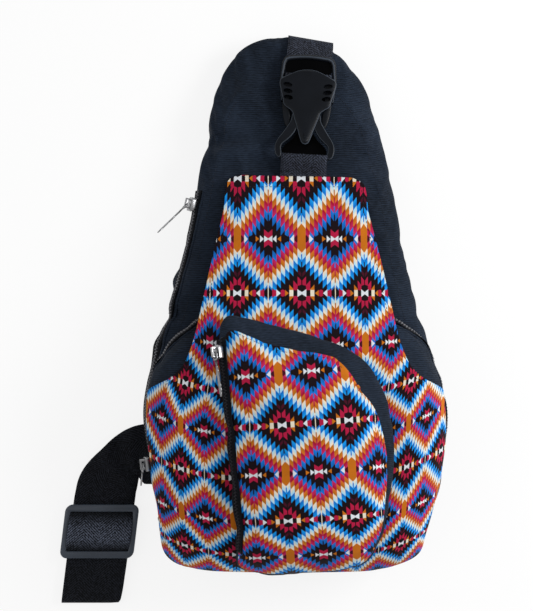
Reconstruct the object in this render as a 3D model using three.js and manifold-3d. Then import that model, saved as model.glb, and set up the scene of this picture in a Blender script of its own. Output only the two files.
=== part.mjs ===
// Sling backpack lying on its back. Millimetres; X to the right and Y to the top of the bag as seen from its front,
// Z out of the front. The origin is on the resting face of the back panel, on the centre line near the bottom.
import * as THREE from "three";
import { mergeVertices } from "three/addons/utils/BufferGeometryUtils.js";
import Module from "manifold-3d";

// Gaps: FIT between hard pieces that touch, DRAPE between cloth layers that lie on each other
const FIT = 0.3;
const DRAPE = 0.9;

// Sewn body
const CLOTH = 2;
const BACK_THICKNESS = 8;
const BACK_EDGE_ROUND = 2.5;
const MAIN_DEPTH = 46;
const TOP_DEPTH = 28;
const TAPER_START = 140;
const FRONT_DEPTH = 40;
const ARCH_DEPTH = 27;
const POCKET_DEPTH = 26.5;
const POCKET_TOP_DEPTH = 18;
const BIB_THICKNESS = 1.6;

// Outlines seen from the front, from the bottom to the top: height, half width on the right, half width on the left.
// The stuffed bag slumps to its left, so the two sides differ.
const BAG_OUTLINE = [
  [-41, 66, 70], [-28, 98, 103], [12, 111, 112], [78, 120.5, 123.5], [104, 117, 121], [136, 108, 112.5],
  [164, 99, 104], [212, 88, 91], [282, 75.5, 77], [338, 59.5, 65], [360, 47, 57], [374, 33.5, 46],
  [381, 17, 31], [384, 0, 0],
];
const FRONT_OUTLINE = [
  [-40, 56, 72], [-36, 74, 92], [-27, 96, 103], [-12, 101.5, 106.5], [12, 108, 110], [30, 113, 115],
  [60, 117, 120], [92, 116.5, 120], [112, 113, 116], [128, 107, 108], [142, 99, 98], [154, 87, 86],
  [164, 70, 70], [176, 40, 40], [183, 0, 0],
];
const BIB_TONGUE = [
  [104, 112], [112, 101], [122, 92], [142, 82], [166, 75], [202, 67], [241, 58], [268, 51],
];
// The slanted pocket, anticlockwise: x, y
const POCKET_OUTLINE = [
  [-45, -34], [-28, -37.8], [2, -37.4], [50, -33], [64, -14], [72, 22], [75, 60], [67, 103],
  [50, 128], [20, 143], [-20, 154], [-55, 158.5], [-61.5, 147], [-58, 110], [-52, 50], [-47, 0],
];

// Zips
const TAPE_HALF = 5.5;
const TAPE_THICKNESS = 1;
const TAPE_DEPTH = 0.5;
const SLIT_PLAY = 0.5;
const CHAIN_HALF = 2.2;
const CHAIN_HEIGHT = 2;
const CHAIN_DEPTH = 0.2;
const RUNNER_LENGTH = 11;
const RUNNER_HALF = 4.5;
const RUNNER_PLATE = 1.4;
const RUNNER_PLAY = 0.9;
const BAIL_HALF = 1;
const BAIL_LENGTH = 8;
const BAIL_BAR = 1.4;
const PULL_LENGTH = 36;
const PULL_HALF = 2.9;
const PULL_TIP_HALF = 2.1;
const PULL_THICKNESS = 1.4;
const MAIN_ZIP_TOP = 258;
const MAIN_ZIP_END = 20;
const FRONT_ZIP_END = 36;
const POCKET_ZIP_TOP = 140;
const POCKET_ZIP_END = -18;
const MAIN_TRAVEL = 60;
const FRONT_TRAVEL = 30;
const POCKET_TRAVEL = 30;

// Webbing
const STRAP_WIDTH = 50;
const STRAP_THICKNESS = 1.6;
const STRAP_SEAM_Y = 47;
const STRAP_BEND = 34;
const STRAP_LEAN = THREE.MathUtils.degToRad(7);
const STRAP_STRAIGHT = 6;
const STRAP_RUN = 94;
const STRAP_BACK_BEND = 46;
const STRAP_BACK_X = 8;
const STRAP_END_INSET = 14;
const WEB_WIDTH = 37;
const WEB_THICKNESS = 1.4;

// Three-bar slider on the strap
const GLIDE_RAIL = 4.8;
const GLIDE_LENGTH = 44;
const GLIDE_BAR = 6;
const GLIDE_THICKNESS = 3.5;
const GLIDE_MIDDLE = 3;
const GLIDE_POST_LENGTH = 16;
const GLIDE_ROUND = 5;
const GLIDE_PLACE = 37;
const GLIDE_SIDE_PLAY = 0.7;

// Side release buckle: along its axis from the socket's bar
const BUCKLE_X = 6.3;
const BUCKLE_Y = 285;
const BUCKLE_LEAN = THREE.MathUtils.degToRad(3.2);
const BUCKLE_LENGTH = 85.6;
const BUCKLE_HALF = 23;
const SOCKET_BASE = 1.5;
const SOCKET_TOP = 12;
const SOCKET_SHOULDER = 44;
const SOCKET_MOUTH = 61.4;
const DOME_RISE = 12.2;
const SOCKET_WALL = 2.4;
const NECK_HALF = 10.4;
const BAR_WIDTH = 3.7;
const PLUG_BASE = 4;
const PLUG_THICKNESS = 4;
const PLUG_BAR_GAP = 3.1;
const PLUG_FOLD = 13.5;
const PLUG_ROOT = 7.4;
const GUIDE_HALF = 4;
const LOWER_TAIL = 46;
const LOWER_FOLD = 14;
const SLOT_WALL = 1.6;

const wasm = await Module();
wasm.setup();

const cloth = new THREE.MeshStandardMaterial({ color: 0x1c222c, roughness: 0.9 });
const print = new THREE.MeshStandardMaterial({ color: 0xb2284e, roughness: 0.85 });
const webbing = new THREE.MeshStandardMaterial({ color: 0x101013, roughness: 0.85 });
const plastic = new THREE.MeshStandardMaterial({ color: 0x17191f, roughness: 0.4 });
const metal = new THREE.MeshStandardMaterial({ color: 0xb9bbc0, roughness: 0.3, metalness: 1 });

const bag = new THREE.Group();

function piece(name, geometry, material, holder = bag) {
  const mesh = new THREE.Mesh(geometry, material);
  mesh.name = name;
  holder.add(mesh);
}

// Booleans between closed geometries
function toSolid(geometry) {
  const bare = new THREE.BufferGeometry();
  const loose = geometry.index ? geometry.toNonIndexed() : geometry;
  bare.setAttribute("position", loose.getAttribute("position"));
  const merged = mergeVertices(bare, 1e-4);
  return new wasm.Manifold(
    new wasm.Mesh({
      numProp: 3,
      vertProperties: merged.attributes.position.array,
      triVerts: new Uint32Array(merged.index.array),
    }),
  );
}

function fromSolid(solid) {
  const mesh = solid.getMesh();
  const geometry = new THREE.BufferGeometry();
  geometry.setAttribute("position", new THREE.BufferAttribute(mesh.vertProperties, 3));
  geometry.setIndex(new THREE.BufferAttribute(mesh.triVerts, 1));
  return geometry;
}

function cut(geometry, ...cutters) {
  const solids = cutters.map(toSolid);
  return fromSolid(solids.reduce((rest, cutter) => rest.subtract(cutter), toSolid(geometry)));
}

function join(...geometries) {
  return fromSolid(geometries.map(toSolid).reduce((whole, next) => whole.add(next)));
}

function block(x0, x1, y0, y1, z0, z1) {
  const box = new THREE.BoxGeometry(x1 - x0, y1 - y0, z1 - z0);
  return box.translate((x0 + x1) / 2, (y0 + y1) / 2, (z0 + z1) / 2);
}

// A closed solid between two skins given as rows of points. A row of one point is a pole.
function skinned(top, bottom, wrap) {
  const points = [];
  const place = (rows) => rows.map((row) => row.map((point) => points.push(point) - 1));
  const upper = place(top);
  const lower = place(bottom);
  const faces = [];
  const triangle = (a, b, c) => {
    if (a !== b && b !== c && a !== c) faces.push(a, b, c);
  };
  const quad = (a, b, c, d) => {
    triangle(a, b, c);
    triangle(a, c, d);
  };
  const at = (row, column) => row[row.length === 1 ? 0 : column % row.length];
  const columns = Math.max(upper[0].length, upper[1].length);
  const last = upper.length - 1;
  const spans = wrap ? columns : columns - 1;
  for (let j = 0; j < spans; j += 1) {
    for (let i = 0; i < last; i += 1) {
      quad(at(upper[i], j), at(upper[i], j + 1), at(upper[i + 1], j + 1), at(upper[i + 1], j));
      quad(at(lower[i + 1], j), at(lower[i + 1], j + 1), at(lower[i], j + 1), at(lower[i], j));
    }
    quad(at(lower[0], j), at(lower[0], j + 1), at(upper[0], j + 1), at(upper[0], j));
    if (upper[last].length > 1) {
      quad(at(upper[last], j), at(upper[last], j + 1), at(lower[last], j + 1), at(lower[last], j));
    }
  }
  if (!wrap) {
    for (let i = 0; i < last; i += 1) {
      const end = columns - 1;
      quad(at(lower[i], 0), at(upper[i], 0), at(upper[i + 1], 0), at(lower[i + 1], 0));
      quad(at(upper[i], end), at(lower[i], end), at(lower[i + 1], end), at(upper[i + 1], end));
    }
  }
  let volume = 0;
  for (let f = 0; f < faces.length; f += 3) {
    const [a, b, c] = [points[faces[f]], points[faces[f + 1]], points[faces[f + 2]]];
    volume += a.dot(b.clone().cross(c));
  }
  if (volume < 0) faces.reverse();
  const geometry = new THREE.BufferGeometry().setFromPoints(points);
  geometry.setIndex(faces);
  return geometry;
}

// Outlines: the radius of a closed smooth curve in any direction from a centre
function bothSides(halves) {
  const right = halves.map(([y, half]) => [half, y]);
  const left = halves.filter(([, , half]) => half > 0).map(([y, , half]) => [-half, y]).reverse();
  return [...right, ...left];
}

function smooth(points) {
  return new THREE.CatmullRomCurve3(points.map(([x, y]) => new THREE.Vector3(x, y, 0)), true);
}

function radiusOf(points, centre) {
  const rays = smooth(points).getPoints(480).map((p) => ({
    heading: Math.atan2(p.y - centre.y, p.x - centre.x),
    radius: Math.hypot(p.x - centre.x, p.y - centre.y),
  }));
  rays.sort((a, b) => a.heading - b.heading);
  const first = rays[0];
  const final = rays[rays.length - 1];
  rays.unshift({ heading: final.heading - 2 * Math.PI, radius: final.radius });
  rays.push({ heading: first.heading + 2 * Math.PI, radius: first.radius });
  return (heading) => {
    const turned = Math.atan2(Math.sin(heading), Math.cos(heading));
    const next = rays.findIndex((ray) => ray.heading > turned);
    const [a, b] = [rays[next - 1], rays[next]];
    return THREE.MathUtils.mapLinear(turned, a.heading, b.heading, a.radius, b.radius);
  };
}

// Caps: stuffed compartments with a rounded section. rise runs from -tuck at the rim, past 0 at the widest line,
// to a quarter turn at the crown.
const QUARTER = Math.PI / 2;
const degrees = THREE.MathUtils.degToRad;

function section(cap, rise) {
  const share = Math.cos(rise) ** (2 / cap.square);
  if (rise >= 0) {
    return { share, height: cap.belly + (1 - cap.belly) * Math.sin(rise) ** (2 / cap.flat) };
  }
  const drop = (Math.sin(-rise) / Math.sin(cap.tuck)) ** (2 / cap.flat);
  return { share, height: cap.belly * (1 - drop) };
}

function onCap(cap, heading, rise, inset) {
  const { share, height } = section(cap, rise);
  const reach = (cap.radius(heading) - inset) * share;
  const x = cap.centre.x + reach * Math.cos(heading);
  const y = cap.centre.y + reach * Math.sin(heading);
  return new THREE.Vector3(x, y, cap.floor(x, y) + height * (cap.depth(y) - inset));
}

// How far out a plan point is, as a share of the outline, and the height of the cap's upper surface there
function shareAt(cap, x, y) {
  const heading = Math.atan2(y - cap.centre.y, x - cap.centre.x);
  return Math.hypot(x - cap.centre.x, y - cap.centre.y) / cap.radius(heading);
}

function crown(cap, x, y) {
  const share = Math.min(shareAt(cap, x, y), 1);
  const lift = Math.sqrt(1 - share ** cap.square) ** (2 / cap.flat);
  return cap.floor(x, y) + cap.depth(y) * (cap.belly + (1 - cap.belly) * lift);
}

// A sewn panel of a cap between two rises, all the way round
function panel(cap, from, to, rows, columns) {
  const skin = (inset) => {
    const lines = [];
    for (let i = 0; i <= rows; i += 1) {
      const rise = from + ((to - from) * i) / rows;
      const count = rise > QUARTER - 1e-6 ? 1 : columns;
      const line = [];
      for (let j = 0; j < count; j += 1) line.push(onCap(cap, (2 * Math.PI * j) / columns, rise, inset));
      lines.push(line);
    }
    return lines;
  };
  return skinned(skin(0), skin(CLOTH), true);
}

const main = {
  centre: new THREE.Vector2(0, 109),
  square: 6,
  flat: 2.2,
  belly: 0.42,
  tuck: degrees(33),
  seam: degrees(42),
  floor: () => BACK_THICKNESS + FIT,
  depth: (y) => THREE.MathUtils.lerp(
    MAIN_DEPTH, TOP_DEPTH, THREE.MathUtils.smoothstep(y, TAPER_START, BAG_OUTLINE.at(-1)[0]),
  ),
};
main.radius = radiusOf(bothSides(BAG_OUTLINE), main.centre);

const front = {
  centre: new THREE.Vector2(0, 64),
  square: 6,
  flat: 2.2,
  belly: 0.4,
  tuck: degrees(33),
  seam: degrees(38),
  floor: (x, y) => crown(main, x, y) + DRAPE,
  depth: (y) => THREE.MathUtils.lerp(
    FRONT_DEPTH, ARCH_DEPTH, THREE.MathUtils.smoothstep(y, 90, FRONT_OUTLINE.at(-1)[0]),
  ),
};
front.radius = radiusOf(bothSides(FRONT_OUTLINE), front.centre);

const SEAM_GAP = 0.006;
const bodyColumns = 56;
const pocketColumns = 56;

// The bib lies taut over the front compartment and the main panel: along each line up the bag it follows the upper
// hull of what is under it.
const bibTop = BIB_TONGUE.at(-1)[0];
const faceShare = section(front, front.seam).share - 0.004;
const bibBottom = front.centre.y - faceShare * front.radius(-QUARTER) + 1;

function under(x, y) {
  const onMain = crown(main, x, y) + WEB_THICKNESS + DRAPE;
  return shareAt(front, x, y) < 1 ? Math.max(crown(front, x, y), onMain) : onMain;
}

function taut(x, y) {
  const steps = 90;
  const hull = [];
  for (let i = 0; i <= steps; i += 1) {
    const py = THREE.MathUtils.lerp(bibBottom, bibTop, i / steps);
    const next = { y: py, z: under(x, py) };
    while (hull.length > 1) {
      const [a, b] = hull.slice(-2);
      if ((b.z - a.z) * (next.y - a.y) > (next.z - a.z) * (b.y - a.y)) break;
      hull.pop();
    }
    hull.push(next);
  }
  if (y <= bibBottom) return under(x, y);
  const after = hull.findIndex((point) => point.y >= y - 1e-6);
  if (after <= 0) return hull[Math.max(after, 0)].z;
  const [a, b] = [hull[after - 1], hull[after]];
  return THREE.MathUtils.mapLinear(y, a.y, b.y, a.z, b.z);
}

// Half width of the bib: its tongue above, the front seam below
const tongue = new THREE.SplineCurve(BIB_TONGUE.map(([y, half]) => new THREE.Vector2(half, y))).getPoints(160);

function seamHalf(y, side) {
  let half = 0;
  for (let i = 0; i <= 240; i += 1) {
    const heading = -QUARTER + (side * Math.PI * i) / 240;
    const reach = front.radius(heading) * faceShare;
    const py = front.centre.y + reach * Math.sin(heading);
    if (py > y) break;
    half = reach * Math.abs(Math.cos(heading));
  }
  return half;
}

function bibHalf(y, side) {
  if (y < BIB_TONGUE[0][0]) return seamHalf(y, side);
  const next = Math.max(tongue.findIndex((point) => point.y >= y - 1e-6), 1);
  const [a, b] = [tongue[next - 1], tongue[next]];
  return Math.min(seamHalf(BIB_TONGUE[0][0], side), THREE.MathUtils.mapLinear(y, a.y, b.y, a.x, b.x));
}

function bibSkin(lift) {
  const rows = 28;
  const columns = 14;
  const lines = [];
  for (let i = 0; i <= rows; i += 1) {
    const y = THREE.MathUtils.lerp(bibBottom, bibTop, (i / rows) ** 1.4);
    const line = [];
    for (let j = 0; j <= columns; j += 1) {
      const spread = Math.sin(QUARTER * ((2 * j) / columns - 1));
      const x = spread * bibHalf(y, Math.sign(spread) || 1);
      line.push(new THREE.Vector3(x, y, taut(x, y) + DRAPE + lift));
    }
    lines.push(line);
  }
  return lines;
}

const pocketTop = Math.max(...POCKET_OUTLINE.map(([, y]) => y));
const pocket = {
  centre: new THREE.Vector2(5, 58),
  square: 3,
  flat: 2,
  belly: 0.26,
  tuck: degrees(20),
  seam: degrees(37),
  floor: (x, y) => taut(x, y) + BIB_THICKNESS + 2.5 * DRAPE,
  depth: (y) => THREE.MathUtils.mapLinear(y, bibBottom, pocketTop, POCKET_DEPTH, POCKET_TOP_DEPTH),
};
pocket.radius = radiusOf(POCKET_OUTLINE, pocket.centre);

// Zips: frames along a line of constant rise. along points up the zip, across points to the crown, out leaves the bag.
function headingAt(cap, rise, y, side) {
  let [low, high] = side < 0 ? [QUARTER, 3 * QUARTER] : [QUARTER, -QUARTER];
  for (let i = 0; i < 40; i += 1) {
    const middle = (low + high) / 2;
    if (onCap(cap, middle, rise, 0).y > y) low = middle;
    else high = middle;
  }
  return (low + high) / 2;
}

function frameAt(cap, rise, heading) {
  const point = onCap(cap, heading, rise, 0);
  const along = onCap(cap, heading - 0.01, rise, 0).sub(onCap(cap, heading + 0.01, rise, 0)).normalize();
  const across = onCap(cap, heading, rise + 0.02, 0).sub(onCap(cap, heading, rise - 0.02, 0)).normalize();
  across.addScaledVector(along, -across.dot(along)).normalize();
  const out = along.clone().cross(across);
  const away = new THREE.Vector3(Math.cos(heading), Math.sin(heading), 0.5);
  if (out.dot(away) < 0) out.negate();
  return { point, along, across, out };
}

function zipLine(cap, rise, from, to, count) {
  const frames = [];
  for (let i = 0; i <= count; i += 1) frames.push(frameAt(cap, rise, from + ((to - from) * i) / count));
  return frames;
}

// A band along zip frames, from one depth to another along the way out
function band(frames, half, low, high, extra = 0) {
  const skin = (lift) => frames.map((frame, i) => {
    const end = i === 0 ? -1 : Number(i === frames.length - 1);
    const middle = frame.point.clone().addScaledVector(frame.out, lift).addScaledVector(frame.along, end * extra);
    const left = middle.clone().addScaledVector(frame.across, -half);
    return [left, middle.clone().addScaledVector(frame.across, half)];
  });
  return skinned(skin(high), skin(low), false);
}

function slit(frames) {
  return band(frames, TAPE_HALF + SLIT_PLAY, -7, 7, SLIT_PLAY);
}

function addZip(name, frames) {
  piece(`${name}_zip_tape`, band(frames, TAPE_HALF, -TAPE_DEPTH - TAPE_THICKNESS, -TAPE_DEPTH), cloth);
  piece(`${name}_zip_chain`, band(frames, CHAIN_HALF, -CHAIN_DEPTH, CHAIN_HEIGHT - CHAIN_DEPTH, -0.1), cloth);
}

// Zip runner: a channel over the chain with a bail for the pull
const chainTop = CHAIN_HEIGHT - CHAIN_DEPTH;
const plateLow = chainTop + RUNNER_PLAY;
const plateHigh = plateLow + RUNNER_PLATE;
const pivotHeight = plateHigh + PULL_THICKNESS / 2 + 0.6;

function runner() {
  const shape = new THREE.Shape();
  const half = RUNNER_HALF;
  const end = RUNNER_LENGTH / 2;
  shape.moveTo(-half + 1.2, -end);
  shape.lineTo(half - 1.2, -end);
  shape.quadraticCurveTo(half - 0.4, -end, half - 0.3, -end + 1);
  shape.lineTo(half, end - 2.5);
  shape.quadraticCurveTo(half, end, half - 2.5, end);
  shape.lineTo(-half + 2.5, end);
  shape.quadraticCurveTo(-half, end, -half, end - 2.5);
  shape.lineTo(-half + 0.3, -end + 1);
  shape.quadraticCurveTo(-half + 0.4, -end, -half + 1.2, -end);
  const low = 0.3;
  const body = new THREE.ExtrudeGeometry(shape, { depth: plateHigh - low, bevelEnabled: false, curveSegments: 4 });
  body.translate(0, 0, low);
  const channel = CHAIN_HALF + RUNNER_PLAY;
  const opened = cut(body, block(-channel, channel, -end - 1, end + 1, 0, plateLow));
  const reach = BAIL_LENGTH / 2;
  const bridge = 2 * (pivotHeight - plateHigh);
  const arch = plateHigh + bridge + BAIL_BAR;
  return join(
    opened,
    block(-BAIL_HALF, BAIL_HALF, -reach, -reach + BAIL_BAR, plateHigh - 0.4, arch),
    block(-BAIL_HALF, BAIL_HALF, reach - BAIL_BAR, reach, plateHigh - 0.4, arch),
    block(-BAIL_HALF, BAIL_HALF, -reach, reach, arch - BAIL_BAR, arch),
  );
}

// Zip pull: a slim tapered bar whose eye goes round the bail; it turns on its end bar
function pull() {
  const shape = new THREE.Shape();
  const head = PULL_THICKNESS / 2;
  const tip = head - PULL_LENGTH;
  shape.moveTo(-PULL_HALF, head);
  shape.lineTo(-PULL_HALF, -10);
  shape.lineTo(-PULL_TIP_HALF, tip + 2);
  shape.quadraticCurveTo(-PULL_TIP_HALF, tip, 0, tip);
  shape.quadraticCurveTo(PULL_TIP_HALF, tip, PULL_TIP_HALF, tip + 2);
  shape.lineTo(PULL_HALF, -10);
  shape.lineTo(PULL_HALF, head);
  const eye = new THREE.Path();
  const eyeHalf = BAIL_HALF + 0.45;
  const eyeEnd = -BAIL_LENGTH / 2 - 1.2;
  eye.moveTo(-eyeHalf, -head);
  eye.lineTo(eyeHalf, -head);
  eye.lineTo(eyeHalf, eyeEnd);
  eye.lineTo(-eyeHalf, eyeEnd);
  shape.holes.push(eye);
  const bar = new THREE.ExtrudeGeometry(shape, {
    depth: PULL_THICKNESS, bevelEnabled: false, curveSegments: 5,
  });
  return bar.translate(0, 0, -PULL_THICKNESS / 2);
}

function placedOn(frame) {
  const holder = new THREE.Group();
  const right = frame.along.clone().cross(frame.out);
  holder.quaternion.setFromRotationMatrix(new THREE.Matrix4().makeBasis(right, frame.along, frame.out));
  holder.position.copy(frame.point);
  bag.add(holder);
  return holder;
}

// The runner's frame at its rest height, turned along the straight line to where its travel ends
function runnerFrame(cap, rise, from, to) {
  const frame = frameAt(cap, rise, headingAt(cap, rise, from, -1));
  const end = onCap(cap, headingAt(cap, rise, to, -1), rise, 0);
  const along = frame.point.clone().sub(end).normalize().multiplyScalar(Math.sign(from - to));
  const out = frame.out.addScaledVector(along, -frame.out.dot(along)).normalize();
  return { point: frame.point, along, out };
}

function addRunner(name, frame, swing) {
  const holder = placedOn(frame);
  piece(`${name}_zip_slider`, runner(), metal, holder);
  const hung = new THREE.Group();
  hung.position.z = pivotHeight;
  hung.rotation.x = -swing;
  holder.add(hung);
  piece(`${name}_zip_pull`, pull(), metal, hung);
}

const zipRise = degrees(13);
const frontRise = degrees(15);
const pocketRise = degrees(17);
const mainZip = zipLine(
  main, zipRise, headingAt(main, zipRise, MAIN_ZIP_END, -1), headingAt(main, zipRise, MAIN_ZIP_TOP, -1), 30,
);
const frontLeft = headingAt(front, frontRise, FRONT_ZIP_END, -1);
const frontRight = headingAt(front, frontRise, FRONT_ZIP_END, 1);
const frontZip = zipLine(front, frontRise, frontLeft, frontRight, 56);
const pocketZip = zipLine(
  pocket, pocketRise, headingAt(pocket, pocketRise, POCKET_ZIP_END, -1),
  headingAt(pocket, pocketRise, POCKET_ZIP_TOP, -1), 22,
);

// Sewn panels
piece("main_gusset", cut(panel(main, -main.tuck, main.seam - SEAM_GAP, 6, bodyColumns), slit(mainZip)), cloth);
piece("main_front_panel", panel(main, main.seam + SEAM_GAP, QUARTER, 5, bodyColumns), cloth);
piece("front_gusset", cut(panel(front, -front.tuck, front.seam - SEAM_GAP, 5, bodyColumns), slit(frontZip)), cloth);
piece("front_face", panel(front, front.seam + SEAM_GAP, QUARTER, 6, bodyColumns), cloth);
piece("bib_panel", skinned(bibSkin(BIB_THICKNESS), bibSkin(0), false), print);
piece(
  "pocket_gusset",
  cut(panel(pocket, -pocket.tuck, pocket.seam - SEAM_GAP, 4, pocketColumns), slit(pocketZip)),
  cloth,
);
piece("pocket_face", panel(pocket, pocket.seam + SEAM_GAP, QUARTER, 4, pocketColumns), print);
addZip("main", mainZip);
addZip("front", frontZip);
addZip("pocket", pocketZip);

// The runners sit on their zips, each a little short of the zip's end
const runnerInset = RUNNER_LENGTH / 2 + 2;
const mainRest = MAIN_ZIP_TOP - runnerInset;
const frontRest = FRONT_ZIP_END + runnerInset;
const pocketRest = POCKET_ZIP_TOP - runnerInset;
addRunner("main", runnerFrame(main, zipRise, mainRest, mainRest - MAIN_TRAVEL), degrees(34));
addRunner("front", runnerFrame(front, frontRise, frontRest, frontRest + FRONT_TRAVEL), degrees(12));
addRunner("pocket", runnerFrame(pocket, pocketRise, pocketRest, pocketRest - POCKET_TRAVEL), degrees(-2));

// Webbing: a band of constant width along stations of a middle point and a direction across
function ribbon(stations, width, thickness) {
  const skin = (side) => stations.map(({ point, across }, i) => {
    const before = stations[Math.max(i - 1, 0)].point;
    const after = stations[Math.min(i + 1, stations.length - 1)].point;
    const face = across.clone().cross(after.clone().sub(before)).normalize();
    const middle = point.clone().addScaledVector(face, (side * thickness) / 2);
    const right = middle.clone().addScaledVector(across, width / 2);
    return [middle.addScaledVector(across, -width / 2), right];
  });
  return skinned(skin(1), skin(-1), false);
}

// The shoulder strap, seen from above: out of the left seam, round a bend, down to the fold, and back underneath to
// the middle of the back and up to the top.
const rimShare = section(main, -main.tuck).share;
const backShare = rimShare + 0.004;
const edgeX = (y) => {
  const heading = headingAt(main, -main.tuck, y, -1);
  return main.centre.x + main.radius(heading) * backShare * Math.cos(heading);
};
const seamX = Math.min(...[-0.5, 0, 0.5].map((share) => edgeX(STRAP_SEAM_Y + share * STRAP_WIDTH))) - 0.2;
const lowZ = STRAP_THICKNESS / 2;
const foldRadius = (STRAP_THICKNESS + GLIDE_MIDDLE) / 2 + FIT;
const highZ = lowZ + 2 * foldRadius;
const bendX = seamX - STRAP_STRAIGHT;
const turn = QUARTER - STRAP_LEAN;
const down = new THREE.Vector3(-Math.sin(STRAP_LEAN), -Math.cos(STRAP_LEAN), 0);

function flat(x, y, z, heading) {
  const across = new THREE.Vector3(-Math.sin(heading), Math.cos(heading), 0);
  return { point: new THREE.Vector3(x, y, z), across };
}

function outward(z) {
  const stations = [flat(bendX, STRAP_SEAM_Y, z, Math.PI)];
  const steps = 10;
  for (let i = 1; i <= steps; i += 1) {
    const angle = (turn * i) / steps;
    const x = bendX - STRAP_BEND * Math.sin(angle);
    const y = STRAP_SEAM_Y - STRAP_BEND * (1 - Math.cos(angle));
    stations.push(flat(x, y, z, Math.PI + angle));
  }
  return stations;
}

const upperRun = outward(highZ);
const bendEnd = upperRun.at(-1).point.clone().setZ(0);
const runHeading = Math.PI + turn;
const foldStart = bendEnd.clone().addScaledVector(down, STRAP_RUN);
const foldStations = [];
for (let i = 0; i <= 8; i += 1) {
  const angle = (Math.PI * i) / 8;
  const spot = foldStart.clone().addScaledVector(down, foldRadius * Math.sin(angle));
  foldStations.push(flat(spot.x, spot.y, lowZ + foldRadius * (1 + Math.cos(angle)), runHeading));
}
const turnedBack = ({ point, across }) => ({ point: point.clone(), across: across.clone() });
const returnRun = outward(lowZ).reverse().map(turnedBack);
const backTurnX = STRAP_BACK_X - STRAP_BACK_BEND;
const backRun = [];
for (let i = 0; i <= 10; i += 1) {
  const angle = (QUARTER * i) / 10;
  const x = backTurnX + STRAP_BACK_BEND * Math.sin(angle);
  const y = STRAP_SEAM_Y + STRAP_BACK_BEND * (1 - Math.cos(angle));
  backRun.push(flat(x, y, lowZ, angle + Math.PI));
}
const backTop = main.centre.y + main.radius(QUARTER) * backShare;
backRun.push(flat(STRAP_BACK_X, backTop - STRAP_END_INSET, lowZ, QUARTER + Math.PI));
const strapStart = flat(seamX - FIT, STRAP_SEAM_Y, highZ, Math.PI);
piece(
  "shoulder_strap",
  ribbon([strapStart, ...upperRun, ...foldStations, ...returnRun, ...backRun], STRAP_WIDTH, STRAP_THICKNESS),
  webbing,
);

// Padded back panel with a channel for the strap
const backOutline = new THREE.Shape(
  smooth(bothSides(BAG_OUTLINE)).getPoints(72).slice(0, -1).map((p) => new THREE.Vector2(
    main.centre.x + (p.x - main.centre.x) * backShare,
    main.centre.y + (p.y - main.centre.y) * backShare,
  )),
);
const pad = new THREE.ExtrudeGeometry(backOutline, {
  depth: BACK_THICKNESS - 2 * BACK_EDGE_ROUND,
  bevelThickness: BACK_EDGE_ROUND,
  bevelSize: BACK_EDGE_ROUND,
  bevelOffset: -BACK_EDGE_ROUND,
  bevelSegments: 2,
});
pad.translate(0, 0, BACK_EDGE_ROUND);
const channelRun = [returnRun.at(-1), ...backRun].map(({ point, across }) => ({
  point: point.clone().setZ(-2 + (STRAP_THICKNESS + FIT + 2) / 2),
  across,
}));
channelRun.at(-1).point.y += FIT;
channelRun[0].point.x -= 4;
piece("back_panel", cut(pad, ribbon(channelRun, STRAP_WIDTH + 2 * FIT, STRAP_THICKNESS + FIT + 2)), cloth);

// Three-bar slider: a flat ring over the strap, two posts beside it and a middle bar between its two layers
const glide = new THREE.Group();
const glideSpot = bendEnd.clone().addScaledVector(down, GLIDE_PLACE);
glide.position.copy(glideSpot);
glide.rotation.z = -STRAP_LEAN;
bag.add(glide);

function roundedBox(width, length, round) {
  const shape = new THREE.Shape();
  const [w, l] = [width / 2, length / 2];
  shape.moveTo(w, -l + round);
  shape.lineTo(w, l - round);
  shape.absarc(w - round, l - round, round, 0, QUARTER);
  shape.lineTo(-w + round, l);
  shape.absarc(-w + round, l - round, round, QUARTER, Math.PI);
  shape.lineTo(-w, -l + round);
  shape.absarc(-w + round, -l + round, round, Math.PI, 3 * QUARTER);
  shape.lineTo(w - round, -l);
  shape.absarc(w - round, -l + round, round, -QUARTER, 0);
  return shape;
}

const ringLow = highZ + STRAP_THICKNESS / 2 + FIT;
const windowHalf = STRAP_WIDTH / 2 + GLIDE_SIDE_PLAY;
const glideWidth = 2 * (windowHalf + GLIDE_RAIL);
const ringShape = roundedBox(glideWidth - 2, GLIDE_LENGTH - 2, GLIDE_ROUND);
ringShape.holes.push(roundedBox(2 * windowHalf + 2, GLIDE_LENGTH - 2 * GLIDE_BAR + 2, 2));
const ring = new THREE.ExtrudeGeometry(ringShape, {
  depth: GLIDE_THICKNESS - 2, bevelThickness: 1, bevelSize: 1, bevelSegments: 2, curveSegments: 3,
});
ring.translate(0, 0, ringLow + 1);
const barLow = STRAP_THICKNESS + FIT;
const barHigh = highZ - STRAP_THICKNESS / 2 - FIT;
const postReach = glideWidth / 2 - 0.6;
const post = (side) => block(
  Math.min(side * windowHalf, side * postReach), Math.max(side * windowHalf, side * postReach),
  -GLIDE_POST_LENGTH / 2, GLIDE_POST_LENGTH / 2, barLow, ringLow + GLIDE_THICKNESS / 2,
);
const middleBar = block(-postReach, postReach, -GLIDE_BAR / 2, GLIDE_BAR / 2, barLow, barHigh);
piece("strap_slider", join(ring, post(-1), post(1), middleBar), plastic, glide);

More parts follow.
